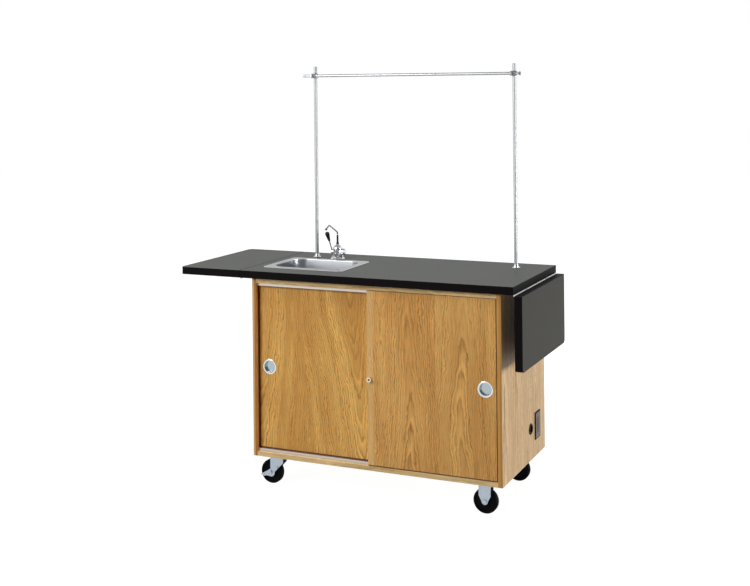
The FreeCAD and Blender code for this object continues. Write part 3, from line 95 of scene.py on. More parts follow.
# %% Finishes
class Finish:
    """A material with one Principled shader."""

    def __init__(self, name):
        self.material = bpy.data.materials.new(name)
        self.material.use_nodes = True
        self.nodes = self.material.node_tree.nodes
        self.links = self.material.node_tree.links
        self.shader = self.nodes["Principled BSDF"]

    def fill(self, socket, value):
        """Link a field to a socket, or set the socket to a number or a colour."""
        if isinstance(value, Field):
            self.links.new(value.socket, socket)
        elif socket.type == "RGBA":
            socket.default_value = (*value, 1)
        else:
            socket.default_value = value

    def add(self, kind, settings=None, inputs=None, output=0):
        """Make a node, and give one of its outputs as a field."""
        node = self.nodes.new(kind)
        for name, value in (settings or {}).items():
            setattr(node, name, value)
        for key, value in (inputs or {}).items():
            self.fill(node.inputs[key], value)
        return Field(self, node.outputs[output])

    def surface(self, **sockets):
        """Fill sockets of the Principled shader."""
        for name, value in sockets.items():
            self.fill(self.shader.inputs[name.replace("_", " ")], value)

    def split(self, vector):
        outputs = self.add("ShaderNodeSeparateXYZ", inputs={0: vector}).socket.node.outputs
        return [Field(self, socket) for socket in outputs]

    def point(self, x, y, z):
        return self.add("ShaderNodeCombineXYZ", inputs={0: x, 1: y, 2: z})

    def spot(self):
        """Where a point is in the model's frame, as one vector in metres."""
        return self.add("ShaderNodeTexCoord", output="Object")

    def place(self):
        """Where a point is in the model's frame, as three fields."""
        return self.split(self.spot())

    def from_middle(self, name):
        """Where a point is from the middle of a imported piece, as three fields."""
        low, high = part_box(name)
        return [field - middle for field, middle in zip(self.place(), (low + high) / 2)]

    def stretched(self, factors):
        """A point for marks: a low factor on an axis makes them long that way."""
        return self.point(*(field * factor for field, factor in zip(self.place(), factors)))

    def facing(self, axis):
        """How squarely the surface faces one axis, either way, from 0 to 1."""
        normal = self.add("ShaderNodeTexCoord", output="Normal")
        return self.split(normal)["XYZ".index(axis)].maths("ABSOLUTE")

    def faces(self, axis):
        """1 on the faces that look along one axis, either way, and 0 on the others."""
        return self.step(self.facing(axis), 0.6, 0.9)

    def rays(self, first, *others):
        """1 on light rays of the named kinds, and 0 on the others."""
        outputs = self.add("ShaderNodeLightPath").socket.node.outputs
        found = Field(self, outputs[first])
        for name in others:
            found = found.maths("MAXIMUM", Field(self, outputs[name]))
        return found

    def chance(self, number):
        """A share from 0 to 1 that is always the same for the same number."""
        return self.add("ShaderNodeTexWhiteNoise", {"noise_dimensions": "1D"}, {"W": number})

    def noise(self, point, scale=1.0, detail=2.0, roughness=0.5):
        inputs = {"Vector": point, "Scale": scale, "Detail": detail, "Roughness": roughness}
        return self.add("ShaderNodeTexNoise", inputs=inputs)

    def step(self, value, low, high):
        """A smooth step from 0 at low to 1 at high."""
        settings = {"interpolation_type": "SMOOTHSTEP"}
        inputs = {"Value": value, "From Min": low, "From Max": high}
        return self.add("ShaderNodeMapRange", settings, inputs)

    def mix(self, share, first, second):
        """A colour between two colours."""
        settings = {"data_type": "RGBA"}
        return self.add("ShaderNodeMix", settings, {0: share, 6: first, 7: second}, output=2)

    def shade(self, colour, factor):
        """A colour made lighter or darker."""
        grey = self.point(factor, factor, factor)
        settings = {"operation": "MULTIPLY"}
        return self.add("ShaderNodeVectorMath", settings, {0: colour, 1: grey})

    def relief(self, height, depth, strength):
        """A bump of a real depth in metres."""
        inputs = {"Height": height, "Distance": depth, "Strength": strength}
        self.surface(Normal=self.add("ShaderNodeBump", inputs=inputs))


def dress(finish, *names):
    """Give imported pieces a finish."""
    for name in names:
        for material_slot in nodes[name].material_slots:
            material_slot.material = finish.material


# %% [markdown]
# Oak is described by three tones: the pale wood, the ruddier wood of some years, and the
# dark line of the early wood. The doors are golden and honey. The left side gets a redder,
# darker tone, which is painted shade, and the right side a pale straw, which is painted
# light. The hidden boards are a plain birch.

# %% Tones of the wood
OAK_TONES = {
    "golden": ((0.73, 0.420, 0.111), (0.56, 0.278, 0.062), (0.24, 0.080, 0.013)),
    "honey": ((0.73, 0.408, 0.120), (0.58, 0.288, 0.074), (0.26, 0.089, 0.017)),
    "stile": ((0.73, 0.385, 0.112), (0.59, 0.288, 0.074), (0.29, 0.105, 0.020)),
    # Painted shade: the left side's redder, darker tone.
    "red_in_painted_shade": ((0.45, 0.190, 0.046), (0.36, 0.138, 0.030), (0.20, 0.062, 0.011)),
    # Painted light: the right side's pale straw tone.
    "straw_in_painted_light": ((0.78, 0.555, 0.310), (0.64, 0.430, 0.220), (0.30, 0.165, 0.062)),
    "band": ((0.74, 0.53, 0.26), (0.60, 0.40, 0.17), (0.34, 0.17, 0.055)),
    "inside": ((0.60, 0.44, 0.27), (0.54, 0.38, 0.22), (0.44, 0.29, 0.155)),
}
print("tones of wood:", len(OAK_TONES))

# %% [markdown]
# A veneered face is a row of leaves from one log, and each leaf is turned over like the
# page of a book, so it mirrors the one before it. A Veneer tells where a point lies in
# its leaf. It also gives noise that is drawn out along the grain, and every leaf has a
# share of luck, so that no two have the same figure.

# %% Leaves of veneer
INWARD_SHARE = 0.93
LUCK_START = 3.7


class Veneer:
    """Where a point lies in the leaves of a veneered face."""

    def __init__(self, finish, grain, across, depth, leaf, start, lean):
        axes = dict(zip("XYZ", finish.place()))
        self.finish = finish
        self.along = axes[grain]
        self.inward = axes[depth]
        leaves = (axes[across] + self.inward * INWARD_SHARE + self.along * lean - start) / leaf
        number = leaves.maths("FLOOR")
        self.luck = finish.chance(number + LUCK_START)
        mirrored = number.maths("PINGPONG", 1.0) * 2 - 1
        self.local = (leaves.maths("FRACT") - 0.5) * mirrored * leaf

    def noise(self, fine, long, detail=2.0, roughness=0.5):
        """Noise that is stretched along the grain; fine and long count waves to the metre."""
        inward = self.inward * fine + self.luck * 9
        point = self.finish.point(self.local * fine, inward, self.along * long)
        return self.finish.noise(point, 1.0, detail, roughness)


# %% [markdown]
# Plain-sliced oak shows cathedrals: the growth rings of a trunk are near-cones, and a
# flat slice beside the heart cuts them in tall pointed arches. So the figure here is
# worked out as a slice. A point's distance from the trunk's heart, the trunk's taper and
# some noise are added up, and that sum is cut into rings: wide where the slice runs
# along them, fine at the sides.

# %% Growth rings
RING_WIDTH = 0.0085


def growth(veneer, taper, heart):
    """How many rings lie between the trunk's middle and a point."""
    wander = (veneer.noise(3.0, 1.8) - 0.5) * 0.10
    jagged = (veneer.noise(26, 12, 3.0, 0.6) - 0.5) * 0.036
    reach = length_of(veneer.local + wander + jagged, heart)
    ragged = (veneer.noise(9, 3.0, 3.0) - 0.5) * 0.012 + (veneer.noise(150, 40) - 0.5) * 0.0024
    return (reach + veneer.along * taper + ragged + veneer.luck) / RING_WIDTH


# %% [markdown]
# The dark line of a ring is its open-pored early wood, with a pale line after it. Years
# differ, so each ring has a strength of its own, and whole decades drift. Fine fibres,
# short ticks and the dashes of the pores run along the grain over everything. The
# lacquer on top is thin and not very glossy.

# %% Oak
def oak(name, grain, across, depth, leaf=0.2, start=0.0, taper=0.02, tones="golden",
        lean=0.0, heart=0.05, gloss=0.2):
    """Oak with its grain along one axis; its veneer leaves lie side by side along across."""
    finish = Finish(name)
    veneer = Veneer(finish, grain, across, depth, leaf, start, lean)
    rings = growth(veneer, taper, heart)
    ring = rings.maths("FRACT")
    year = finish.chance(rings.maths("FLOOR"))
    decade = finish.noise(finish.point(rings * 0.27, 0.5, veneer.luck), 1.0, 1.0)
    early = finish.step(ring, 0.50, 0.86) * (1 - finish.step(ring, 0.90, 1.0)) * (year * 0.8 + 0.2)
    pale_line = finish.step(ring, 0.0, 0.08) * (1 - finish.step(ring, 0.12, 0.42)) * year
    fibre = veneer.noise(300, 10, 3.0, 0.65)
    streak = veneer.noise(75, 3.0, 3.0)
    tick = finish.step(veneer.noise(230, 9, 2.0), 0.54, 0.66)
    dashes = finish.step(veneer.noise(1300, 36, 1.0), 0.50, 0.66)
    pores = dashes * (early * 0.65 + 0.35)
    cloud = veneer.noise(6, 1.6, 3.0)
    pale, ruddy, line = OAK_TONES[tones]
    wood = finish.mix(finish.step(cloud + decade * 0.5, 0.55, 0.95), pale, ruddy)
    wood = finish.mix(early * (0.26 + fibre * 0.40 + dashes * 0.44) + tick * 0.26, wood, line)
    wood = finish.shade(wood, 1.52 + pale_line * fibre * 0.70 - fibre * 0.56 - streak * 0.18 - decade * 0.10)
    wood = finish.shade(wood, 0.97 + veneer.luck * 0.06 - pores * 0.26)
    finish.surface(Base_Color=wood, Roughness=0.36 + pores * 0.25, Coat_Weight=gloss / 2)
    finish.surface(Coat_Roughness=0.25, Specular_IOR_Level=gloss)
    finish.relief(1 - pores, 0.00012, 0.5)
    return finish, wood


# %% [markdown]
# A panel's core would show at its edges, so a strip of solid oak is glued on them. The
# strip has straight, fine lines and no cathedrals. One finish serves both: it asks which
# way a face looks, and shows the strip on the edges.

# %% Edge bands
def banded(name, outward, tones, *settings, **more):
    """Veneer on a panel's faces, and a solid oak band on the edges that face one way."""
    finish, face = oak(name, *settings, **more)
    streak = finish.noise(finish.stretched((500, 500, 6)), 1.0, 3.0, 0.6)
    pale, ruddy, _ = OAK_TONES[tones]
    band = finish.mix(finish.step(streak, 0.3, 0.7), ruddy, pale)
    wood = finish.mix(finish.faces(outward), face, band)
    finish.surface(Base_Color=wood)
    return finish, wood


# %% [markdown]
# The side panels' grain runs upright, as on most cabinets, since a board is strongest
# that way. The rails and the bottom run across. The partition and the shelf are hidden
# when the doors are shut, and are of a cheaper wood.

# %% Oak on the cabinet
# The left side's oak is in painted shade, and the right side's in painted light.
left_side, left_side_wood = banded("oak of the left side", "Y", "red_in_painted_shade", "Z", "Y", "X", 0.19, 0.04)
dress(left_side, "side_panel_left")
right_side, right_side_wood = banded(
    "oak of the right side", "Y", "stile", "Z", "Y", "X", 0.15, 0.0, 0.015, "straw_in_painted_light", gloss=0.05
)
dress(right_side, "side_panel_right")
dress(oak("oak of the back", "Z", "X", "Y", 0.22, tones="band")[0], "back_panel")
dress(oak("oak of the rails", "X", "Z", "Y", 0.09, tones="band")[0], "bottom_panel", "top_rails")
dress(oak("birch of the partition", "Z", "Y", "X", 0.3, 0.1, tones="inside")[0], "centre_partition")
dress(oak("birch of the shelf", "X", "Y", "Z", 0.3, 0.1, tones="inside")[0], "shelf")
print("finishes of the cabinet:", len(bpy.data.materials))

# %% [markdown]
# A sliding door's rim gets painted shade: thin dark lines stand for the shadow where it
# meets the frame, and draw the door's outline. On the left door they show just above the
# lower track and at its left end. Its cathedrals lean a little.

# %% Left door
# Painted shade: the dark tone of the lines at a door's rim, also used where the left door closes.
RIM_SHADE_TONE = (0.17, 0.038, 0.010)
rim_height = 0.003
rim_width = 0.001
rim_blur = 0.002
left_low, left_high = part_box("door_left")
rim_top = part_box("lower_track")[1].z + rim_height
rim_end = left_low.x + rim_width
left_door, wood = oak("oak of the left door", "Z", "X", "Y", 0.46, -0.402, -0.11, lean=0.06, heart=0.034)
x, _, z = left_door.place()
# Painted shade above the lower track and at the left end.
rim_shade = 1 - left_door.step(z, rim_top, rim_top + rim_blur)
rim_shade = rim_shade.maths("MAXIMUM", 1 - left_door.step(x, rim_end, rim_end + rim_blur))
left_door.surface(Base_Color=left_door.mix(rim_shade, wood, RIM_SHADE_TONE))
dress(left_door, "door_left")
print("left door is", round(left_high.x - left_low.x, 4), "m wide")

# %% [markdown]
# The right door slides in front of the left one, so its whole lower edge and its right
# end show, with a still darker painted shade. Its veneer starts with a narrow, paler leaf.

# %% Right door
PALE_LEAF = (0.95, 0.74, 0.38)
pale_leaf_width = 0.028
pale_leaf_blur = 0.006
right_low, right_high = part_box("door_right")
leaf_line = right_low.x + pale_leaf_width
right_door, wood = oak("oak of the right door", "Z", "X", "Y", 0.24, -0.10, 0.06, "honey", heart=0.03)
x, _, z = right_door.place()
first_leaf = 1 - right_door.step(x, leaf_line - pale_leaf_blur, leaf_line + pale_leaf_blur)
wood = right_door.mix(first_leaf * 0.24, wood, PALE_LEAF)
rim_top = right_low.z + 0.002
rim_start, rim_full = right_high.x - 0.0035, right_high.x - 0.0020
# Painted shade along the lower edge and at the right end.
rim_shade = 1 - right_door.step(z, rim_top, rim_top + rim_blur)
rim_shade = rim_shade.maths("MAXIMUM", right_door.step(x, rim_start, rim_full))
deep_shade = 0.35
right_door.surface(Base_Color=right_door.mix(rim_shade, wood, right_door.shade(RIM_SHADE_TONE, deep_shade)))
dress(right_door, "door_right")
print("right door is", round(right_high.x - right_low.x, 4), "m wide")

# %% [markdown]
# Where the left door closes, the side panel's inner face lies in shade, so a strip of
# painted shade is put on it, in the doors' dark rim tone, with a fine noise that makes
# its tone waver. The panel's edge band is two-toned: its outer part is paler.

# %% Painted shade and edge of the left side
shade_blur = 0.001
shade_front = left_low.y - 0.013
shade_back = left_high.y
side_low, side_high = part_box("side_panel_left")
x, y, _ = left_side.place()
# The strip of painted shade on the inner face, where the left door closes.
strip = left_side.step(y, shade_front, shade_front + shade_blur)
strip = strip * (1 - left_side.step(y, shade_back, shade_back + shade_blur))
shade_x = side_high.x - 0.003
strip = strip * left_side.step(x, shade_x, shade_x + shade_blur)
shade_noise = left_side.noise(left_side.spot(), 1500, 2.0)
painted_shade = left_side.shade(RIM_SHADE_TONE, 0.8 + shade_noise * 0.4)
edge = left_side.faces("Y") * (1 - left_side.step(x, side_low.x + 0.008, side_low.x + 0.010))
wood = left_side.mix(edge * 0.55, left_side_wood, (0.88, 0.62, 0.30))
left_side.surface(Base_Color=left_side.mix(strip, wood, painted_shade))
# The depth of the strip of painted shade.
print("felt stop is", round(shade_back - shade_front, 4), "m deep")

# %% [markdown]
# The right panel's edge band has two tones as well: here the outer part is browner.

# %% Edge of the right side
outer_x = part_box("side_panel_right")[1].x
x = right_side.place()[0]
edge = right_side.faces("Y") * right_side.step(x, outer_x - 0.009, outer_x - 0.007)
right_side.surface(Base_Color=right_side.mix(edge * 0.40, right_side_wood, (0.32, 0.140, 0.038)))
print("right side ends at", round(outer_x, 4), "m")

# %% [markdown]
# The top is plastic laminate on board: a fine even texture, a soft gloss, and edges
# banded in a deeper black. The faces look grey because they mirror the pale room. One
# finish serves a board by asking which way each face looks, so the hanging leaf has one
# of its own, with a darker tone, which is painted shade.

# %% Laminate
EDGE_BLACK = (0.003, 0.002, 0.0025)


def laminate(name, face_axis, tone):
    """Laminate of one tone on the faces that look along face_axis, black on the edges."""
    finish = Finish(name)
    point = finish.spot()
    speck = finish.noise(point, 900, 2.0, 0.6)
    cloud = finish.noise(point, 5, 3.0)
    face = finish.faces(face_axis)
    colour = finish.mix(face, EDGE_BLACK, tone)
    finish.surface(Base_Color=finish.shade(colour, 0.9 + speck * 0.12 + cloud * 0.08))
    finish.surface(Roughness=0.50 - face * 0.06 + speck * 0.1, Specular_IOR_Level=0.05)
    finish.relief(speck, 0.00006, 0.6)
    return finish


dress(laminate("laminate of the worktop", "Z", (0.060, 0.063, 0.057)), "worktop", "leaf_left")
# Painted shade: the hanging leaf's face tone is darker than the worktop's.
dress(laminate("laminate of the hanging leaf", "X", (0.046, 0.045, 0.039)), "leaf_right")
print("finishes with laminate:", len(bpy.data.materials))

# %% [markdown]
# Metals differ in colour, in how clear their mirror is, and in the marks that the
# making left: lines along a drawn rod, lines along a rolled sheet, turned rings, or the
# mottle of zinc. One function makes all of them. It is told how the marks are drawn out
# along each axis, how fine they are and how much they show.

# %% Metal
def metal(name, colour, roughness, lines=(1, 1, 1), fineness=60.0, marks=0.12, depth=0.00002):
    """A metal whose marks are stretched: a low number in lines makes them long that way."""
    finish = Finish(name)
    point = finish.stretched(lines)
    fine = finish.noise(point, fineness, 3.0, 0.6)
    broad = finish.noise(point, fineness * 0.12, 2.0)
    finish.surface(Base_Color=finish.shade(colour, 1.04 - fine * marks))
    finish.surface(Metallic=1.0, Roughness=roughness - marks / 2 + fine * marks + (broad - 0.5) * 0.06)
    finish.relief(fine, depth, 0.5)
    return finish


# %% [markdown]
# The uprights and the crossbar are drawn aluminium with a satin skin, so their marks run
# along them. The tracks are extruded and anodised. The top of the upper track lies in
# the shade of the worktop's rail, so a thin dark seam of painted shade is drawn there.

# %% Rods and tracks
TRACK_TONE = (0.52, 0.465, 0.41)
SEAM_SHADE_TONE = (0.07, 0.04, 0.025)
rod_metal = metal("satin aluminium rod", (0.44, 0.455, 0.46), 0.52, (1, 1, 0.04), 900, 0.04, 0.000002)
dress(rod_metal, "upright_rods")
bar_metal = metal("satin aluminium bar", (0.44, 0.45, 0.465), 0.42, (0.04, 1, 1), 900, 0.04, 0.000002)
dress(bar_metal, "crossbar")
track_lines = (0.03, 1, 1)
track_metal = metal("anodised aluminium", TRACK_TONE, 0.42, track_lines, 700, 0.12)
rail_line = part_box("upper_track")[1].z
# Painted shade: a thin dark seam along the top of the upper track.
seam_shade = track_metal.step(track_metal.place()[2], rail_line - 0.0030, rail_line - 0.0022)
drawn = track_metal.noise(track_metal.stretched(track_lines), 700, 3.0)
tone = track_metal.mix(seam_shade, TRACK_TONE, SEAM_SHADE_TONE)
track_metal.surface(Base_Color=track_metal.shade(tone, 1.04 - drawn * 0.1))
dress(track_metal, "upper_track", "lower_track")
print("upper track ends at", round(rail_line, 4), "m")

# %% [markdown]
# The sink is pressed from brushed stainless sheet, with its lines along the long side.
# Its flat ledge gets a little darker tone than the bowl, a painted reflection of the dark
# room, and the bend between them gets a painted highlight, a bright line.

# %% Sink
SINK_TONE = (0.40, 0.415, 0.44)
# Painted reflection: the ledge's darker tone.
LEDGE_REFLECTION_TONE = (0.36, 0.375, 0.375)
# Painted highlight: the bright line at the bend.
BEND_HIGHLIGHT_TONE = (0.80, 0.81, 0.80)
sheet_lines = (0.05, 1, 1)
sink_steel = metal("steel of the sink", SINK_TONE, 0.32, sheet_lines, 800, 0.14)
sink_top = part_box("sink")[1].z
z = sink_steel.place()[2]
flat = sink_steel.step(sink_steel.facing("Z"), 0.90, 0.98)
ledge = sink_steel.step(z, sink_top - 0.0012, sink_top - 0.0006) * flat
# Painted highlight along the bend below the ledge.
bend_highlight = sink_steel.step(z, sink_top - 0.0040, sink_top - 0.0030) * (1 - flat)
grain = sink_steel.noise(sink_steel.stretched(sheet_lines), 800, 3.0)
tone = sink_steel.mix(bend_highlight, sink_steel.mix(ledge, SINK_TONE, LEDGE_REFLECTION_TONE), BEND_HIGHLIGHT_TONE)
sink_steel.surface(Base_Color=sink_steel.shade(tone, 1.05 - grain * 0.12))
dress(sink_steel, "sink")
strainer_steel = metal("brushed stainless steel", (0.42, 0.44, 0.47), 0.32, sheet_lines, 800, 0.14)
dress(strainer_steel, "sink_strainer")
print("sink's ledge lies at", round(sink_top, 4), "m")

# %% [markdown]
# Chrome is the clearest mirror here. The spout's thin tube looks darker than the body,
# so its chrome gets a darker tone, which is a painted dark reflection. The lock's housing
# is satin nickel, and its plug gets a dark tone, which is painted shade for its keyhole.

# %% Chrome and nickel
chrome = metal("chrome", (0.74, 0.75, 0.77), 0.11, fineness=40, marks=0.03, depth=0.00001)
dress(chrome, "faucet_base", "pump_body", "pump_lever", "rod_sockets", "sink_drain")
# Painted reflection: a darker copy of chrome for the spout and its aerator.
dark_reflection_chrome = metal("darker chrome", (0.36, 0.365, 0.375), 0.12, fineness=40, marks=0.03, depth=0.00001)
dress(dark_reflection_chrome, "spout")
screw_chrome = metal("bright screw", (0.55, 0.56, 0.58), 0.2, fineness=90, marks=0.06)
for where in ("crossbar_left", "crossbar_right", "upright_left", "upright_right"):
    dress(screw_chrome, "thumbscrew_" + where)
dress(metal("satin nickel", (0.72, 0.67, 0.56), 0.22, fineness=120, marks=0.08), "lock_housing")
# Painted shade: the plug's dark tone stands for its shaded keyhole.
dress(metal("nickel of the plug in painted shade", (0.16, 0.13, 0.09), 0.3, fineness=120, marks=0.10), "lock_plug")
print("finishes with chrome:", len(bpy.data.materials))

# %% [markdown]
# Each door has a turned aluminium cup for the fingertips. Its flange lies flat on the
# door and gets a painted highlight, and the cup inside it is a cooler, darker tone. The
# border between them is found from a point's distance to the cup's middle.

# %% Door pulls
PULL_TONE = (0.37, 0.43, 0.45)
FLANGE_HIGHLIGHT_TONE = (0.66, 0.67, 0.65)
cup_radius = 0.0262
cup_blur = 0.001
for side in ("left", "right"):
    pull_metal = metal("turned aluminium, " + side, PULL_TONE, 0.22, fineness=160, marks=0.08)
    aside, _, above = pull_metal.from_middle("pull_" + side)
    # Painted highlight on the flat flange round the cup.
    flange_highlight = pull_metal.step(length_of(aside, above), cup_radius, cup_radius + cup_blur)
    turning = pull_metal.noise(pull_metal.spot(), 160, 3.0)
    tone = pull_metal.mix(flange_highlight, PULL_TONE, FLANGE_HIGHLIGHT_TONE)
    pull_metal.surface(Base_Color=pull_metal.shade(tone, 1.05 - turning * 0.1))
    dress(pull_metal, "pull_" + side)
    print("pull dressed:", side)

# %% [markdown]
# The casters are zinc plated, which leaves a cool grey with a mottle. The hinges are
# rolled along their length and plated brighter. The rod clamps are small castings, so
# their skin is grainy.

# %% Casters, hinges and clamps
zinc = metal("zinc plate", (0.41, 0.465, 0.53), 0.34, fineness=75, marks=0.22)
dress(zinc, "caster_plates", "rigid_forks", "fork_front_left", "fork_back_left")
dress(zinc, "pedal_front_left", "pedal_back_left", "shelf_pins")
hinge_metal = metal("plated hinge steel", (0.76, 0.76, 0.76), 0.33, (1, 0.05, 1), 600, 0.14)
dress(hinge_metal, "hinge_fixed_flaps", "hinge_flaps_left", "hinge_flaps_right")
dress(hinge_metal, "bracket_plates", "bracket_arms_left", "bracket_arms_right")
casting = metal("plated casting", (0.34, 0.35, 0.37), 0.36, fineness=260, marks=0.2, depth=0.0001)
dress(casting, "rod_clamps")
dress(metal("galvanised steel", (0.52, 0.54, 0.55), 0.38, fineness=55, marks=0.25), "outlet_box")
print("finishes with zinc and castings:", len(bpy.data.materials))

# %% [markdown]
# Moulded plastics and rubber have no lines, only a fine grain from the mould and a
# little difference in gloss. One function makes them, and the plain ones need no more.
# The wheels are a hard black rubber, the dullest of them.

# %% Plastics and rubber
def moulded(name, colour, roughness, grain=500.0, depth=0.00005, mottle=0.08, shine=0.3):
    """A moulded plastic: grain counts its fine waves to the metre, and mottle is their tone."""
    finish = Finish(name)
    point = finish.spot()
    fine = finish.noise(point, grain, 2.0, 0.6)
    cloud = finish.noise(point, grain * 0.03, 3.0)
    finish.surface(Base_Color=finish.shade(colour, 1 - mottle / 2 + cloud * mottle))
    finish.surface(Roughness=roughness - 0.04 + fine * 0.08 + (cloud - 0.5) * 0.08)
    finish.surface(Specular_IOR_Level=shine)
    finish.relief(fine, depth, 0.6)
    return finish


grip_plastic = moulded("black moulded plastic", (0.012, 0.012, 0.013), 0.35)
dress(grip_plastic, "lever_grip")
dress(moulded("milky polyethylene", (0.74, 0.76, 0.72), 0.38, 220, 0.0001), "water_tanks")
dress(moulded("black cap", (0.02, 0.02, 0.022), 0.4), "tank_caps")
dress(moulded("clear vinyl tube", (0.70, 0.73, 0.71), 0.16, 90, 0.00002), "supply_tube")
rubber = moulded("black rubber", (0.002, 0.002, 0.0023), 0.6, 420, 0.00008, 0.2, 0.05)
wheels = ["wheel_" + row + side for row in ("front", "back") for side in ("_left", "_right")]
dress(rubber, *wheels)
print("wheels dressed:", len(wheels))

# %% [markdown]
# The outlet's cover plate is brown, with a bevelled border that is painted nearly black,
# as painted shade. Its receptacle is of a greyer brown, and the test and reset buttons
# are darker still.

# %% Cover plate and receptacle
PLATE_TONE = (0.24, 0.185, 0.175)
BORDER_SHADE_TONE = (0.012, 0.004, 0.003)
plate_plastic = moulded("brown cover plate", PLATE_TONE, 0.4, shine=0.08)
_, aside, above = plate_plastic.from_middle("wall_plate")
border_y, border_z = 0.0290, 0.0500
sideways = plate_plastic.step(aside.maths("ABSOLUTE"), border_y, border_y + 0.0010)
upward = plate_plastic.step(above.maths("ABSOLUTE"), border_z, border_z + 0.0012)
# Painted shade on the bevelled border.
shaded_border = sideways.maths("MAXIMUM", upward)
grain = plate_plastic.noise(plate_plastic.spot(), 400, 2.0)
tone = plate_plastic.mix(shaded_border, PLATE_TONE, BORDER_SHADE_TONE)
plate_plastic.surface(Base_Color=plate_plastic.shade(tone, 0.95 + grain * 0.1))
dress(plate_plastic, "wall_plate")
dress(moulded("grey brown receptacle", (0.15, 0.11, 0.10), 0.4, shine=0.08), "receptacle")
button_plastic = moulded("dark buttons", (0.030, 0.026, 0.024), 0.3)
dress(button_plastic, "test_button", "reset_button")
print("finishes with the outlet:", len(bpy.data.materials))

# %% [markdown]
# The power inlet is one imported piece: a black recess with brass blades. The blades are
# what lies near the inlet's axis and stands out from the recess's floor, so two steps
# find them and turn plastic into metal.

# %% Power inlet
INLET_TONE = (0.012, 0.009, 0.006)
recess_radius = 0.0132
recess_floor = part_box("power_inlet")[0].x + 0.0142
find_blur = 0.0004
inlet_plastic = moulded("dark inlet", INLET_TONE, 0.5, shine=0.05)
_, aside, above = inlet_plastic.from_middle("power_inlet")
inside = 1 - inlet_plastic.step(length_of(aside, above), recess_radius, recess_radius + find_blur)
out = inlet_plastic.step(inlet_plastic.place()[0], recess_floor, recess_floor + find_blur)
blade = inside * out
speck = inlet_plastic.noise(inlet_plastic.spot(), 700, 2.0)
brass = inlet_plastic.shade((0.50, 0.47, 0.22), 1.1 - speck * 0.3)
inlet_plastic.surface(Base_Color=inlet_plastic.mix(blade, INLET_TONE, brass), Metallic=blade)
dress(inlet_plastic, "power_inlet")
print("finishes:", len(bpy.data.materials))

# %% [markdown]
# Small fittings are pieces of their own. Most are turned shapes, so one helper spins a
# profile of radius and height about an axis, as a lathe does. A profile that starts or
# ends away from the axis is closed there with a flat face.

# %% Turned shapes
def spun(profile, sides):
    """A closed turned mesh about +Z from (radius, height) points, from bottom to top."""
    mesh = bmesh.new()
    rows = []
    for radius, height in profile:
        if radius == 0:
            rows.append([mesh.verts.new((0, 0, height))])
            continue
        row = []
        for index in range(sides):
            angle = 2 * math.pi * index / sides
            row.append(mesh.verts.new((radius * math.cos(angle), radius * math.sin(angle), height)))
        rows.append(row)
    for low, high in zip(rows, rows[1:]):
        for index in range(sides):
            after = (index + 1) % sides
            corners = [low[index % len(low)], low[after % len(low)]]
            corners += [high[after % len(high)], high[index % len(high)]]
            unique = list(dict.fromkeys(corners))
            if len(unique) > 2:
                mesh.faces.new(unique)
    for row, flip in ((rows[0], True), (rows[-1], False)):
        if len(row) > 1:
            mesh.faces.new(row[::-1] if flip else row)
    return mesh


# %% [markdown]
# A fitting needs three things to join the model: a finish, the body that carries it when
# a joint moves, and a slot that says what it is made of. A row of screws is made from
# one modelled head, which is stamped at many places, so that it stays one piece.

# %% Pieces and stamps
SHARP_ANGLE = math.radians(35)


def mesh_object(name, mesh):
    """Turn a bmesh into an object of the scene."""
    data = bpy.data.meshes.new(name)
    mesh.to_mesh(data)
    mesh.free()
    made = bpy.data.objects.new(name, data)
    bpy.context.scene.collection.objects.link(made)
    return made


def piece(name, mesh, body, finish):
    """Turn a bmesh into a piece that rides on a body."""
    bmesh.ops.recalc_face_normals(mesh, faces=mesh.faces)
    made = mesh_object(name, mesh)
    made.data.materials.append(finish.material)
    made.data.shade_smooth()
    made.data.set_sharp_from_angle(angle=SHARP_ANGLE)
    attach(made, body)
    return made


def stamped(template, places):
    """One mesh with a copy of a template at each (point, axis)."""
    whole = bmesh.new()
    for point, axis in places:
        turn = Vector((0, 0, 1)).rotation_difference(Vector(axis)).to_matrix().to_4x4()
        copy = template.copy()
        copy.transform(Matrix.Translation(Vector(point)) @ turn)
        data = bpy.data.meshes.new("stamp")
        copy.to_mesh(data)
        copy.free()
        whole.from_mesh(data)
        bpy.data.meshes.remove(data)
    template.free()
    return whole


# %% [markdown]
# A screw's slot is sawn into the finished head. A boolean with a box does the same here,
# and a cross is two such boxes.

# %% Slots and crosses
def notched(mesh, cutters):
    """A bmesh with boxes cut out of it; each box is (size, turn about Z, height of its middle)."""
    body = mesh_object("notched", mesh)
    for size, turn, height in cutters:
        box = bmesh.new()
        bmesh.ops.create_cube(box, size=1)
        turned_box = Matrix.Rotation(turn, 4, "Z") @ Matrix.Diagonal((*size, 1))
        box.transform(Matrix.Translation((0, 0, height)) @ turned_box)
        tool = mesh_object("cutter", box)
        cut = body.modifiers.new("cut", "BOOLEAN")
        cut.operation = "DIFFERENCE"
        cut.solver = "EXACT"
        cut.object = tool
        bpy.context.view_layer.update()
        done = bpy.data.meshes.new_from_object(body.evaluated_get(bpy.context.evaluated_depsgraph_get()))
        body.modifiers.clear()
        body.data = done
        bpy.data.objects.remove(tool)
    result = bmesh.new()
    result.from_mesh(body.data)
    bpy.data.objects.remove(body)
    return result


# %% [markdown]
# Two fastenings serve the whole station: a domed screw with a slot or a cross, and a
# hexagon, which is both the nut of an axle and the head of a lag screw.

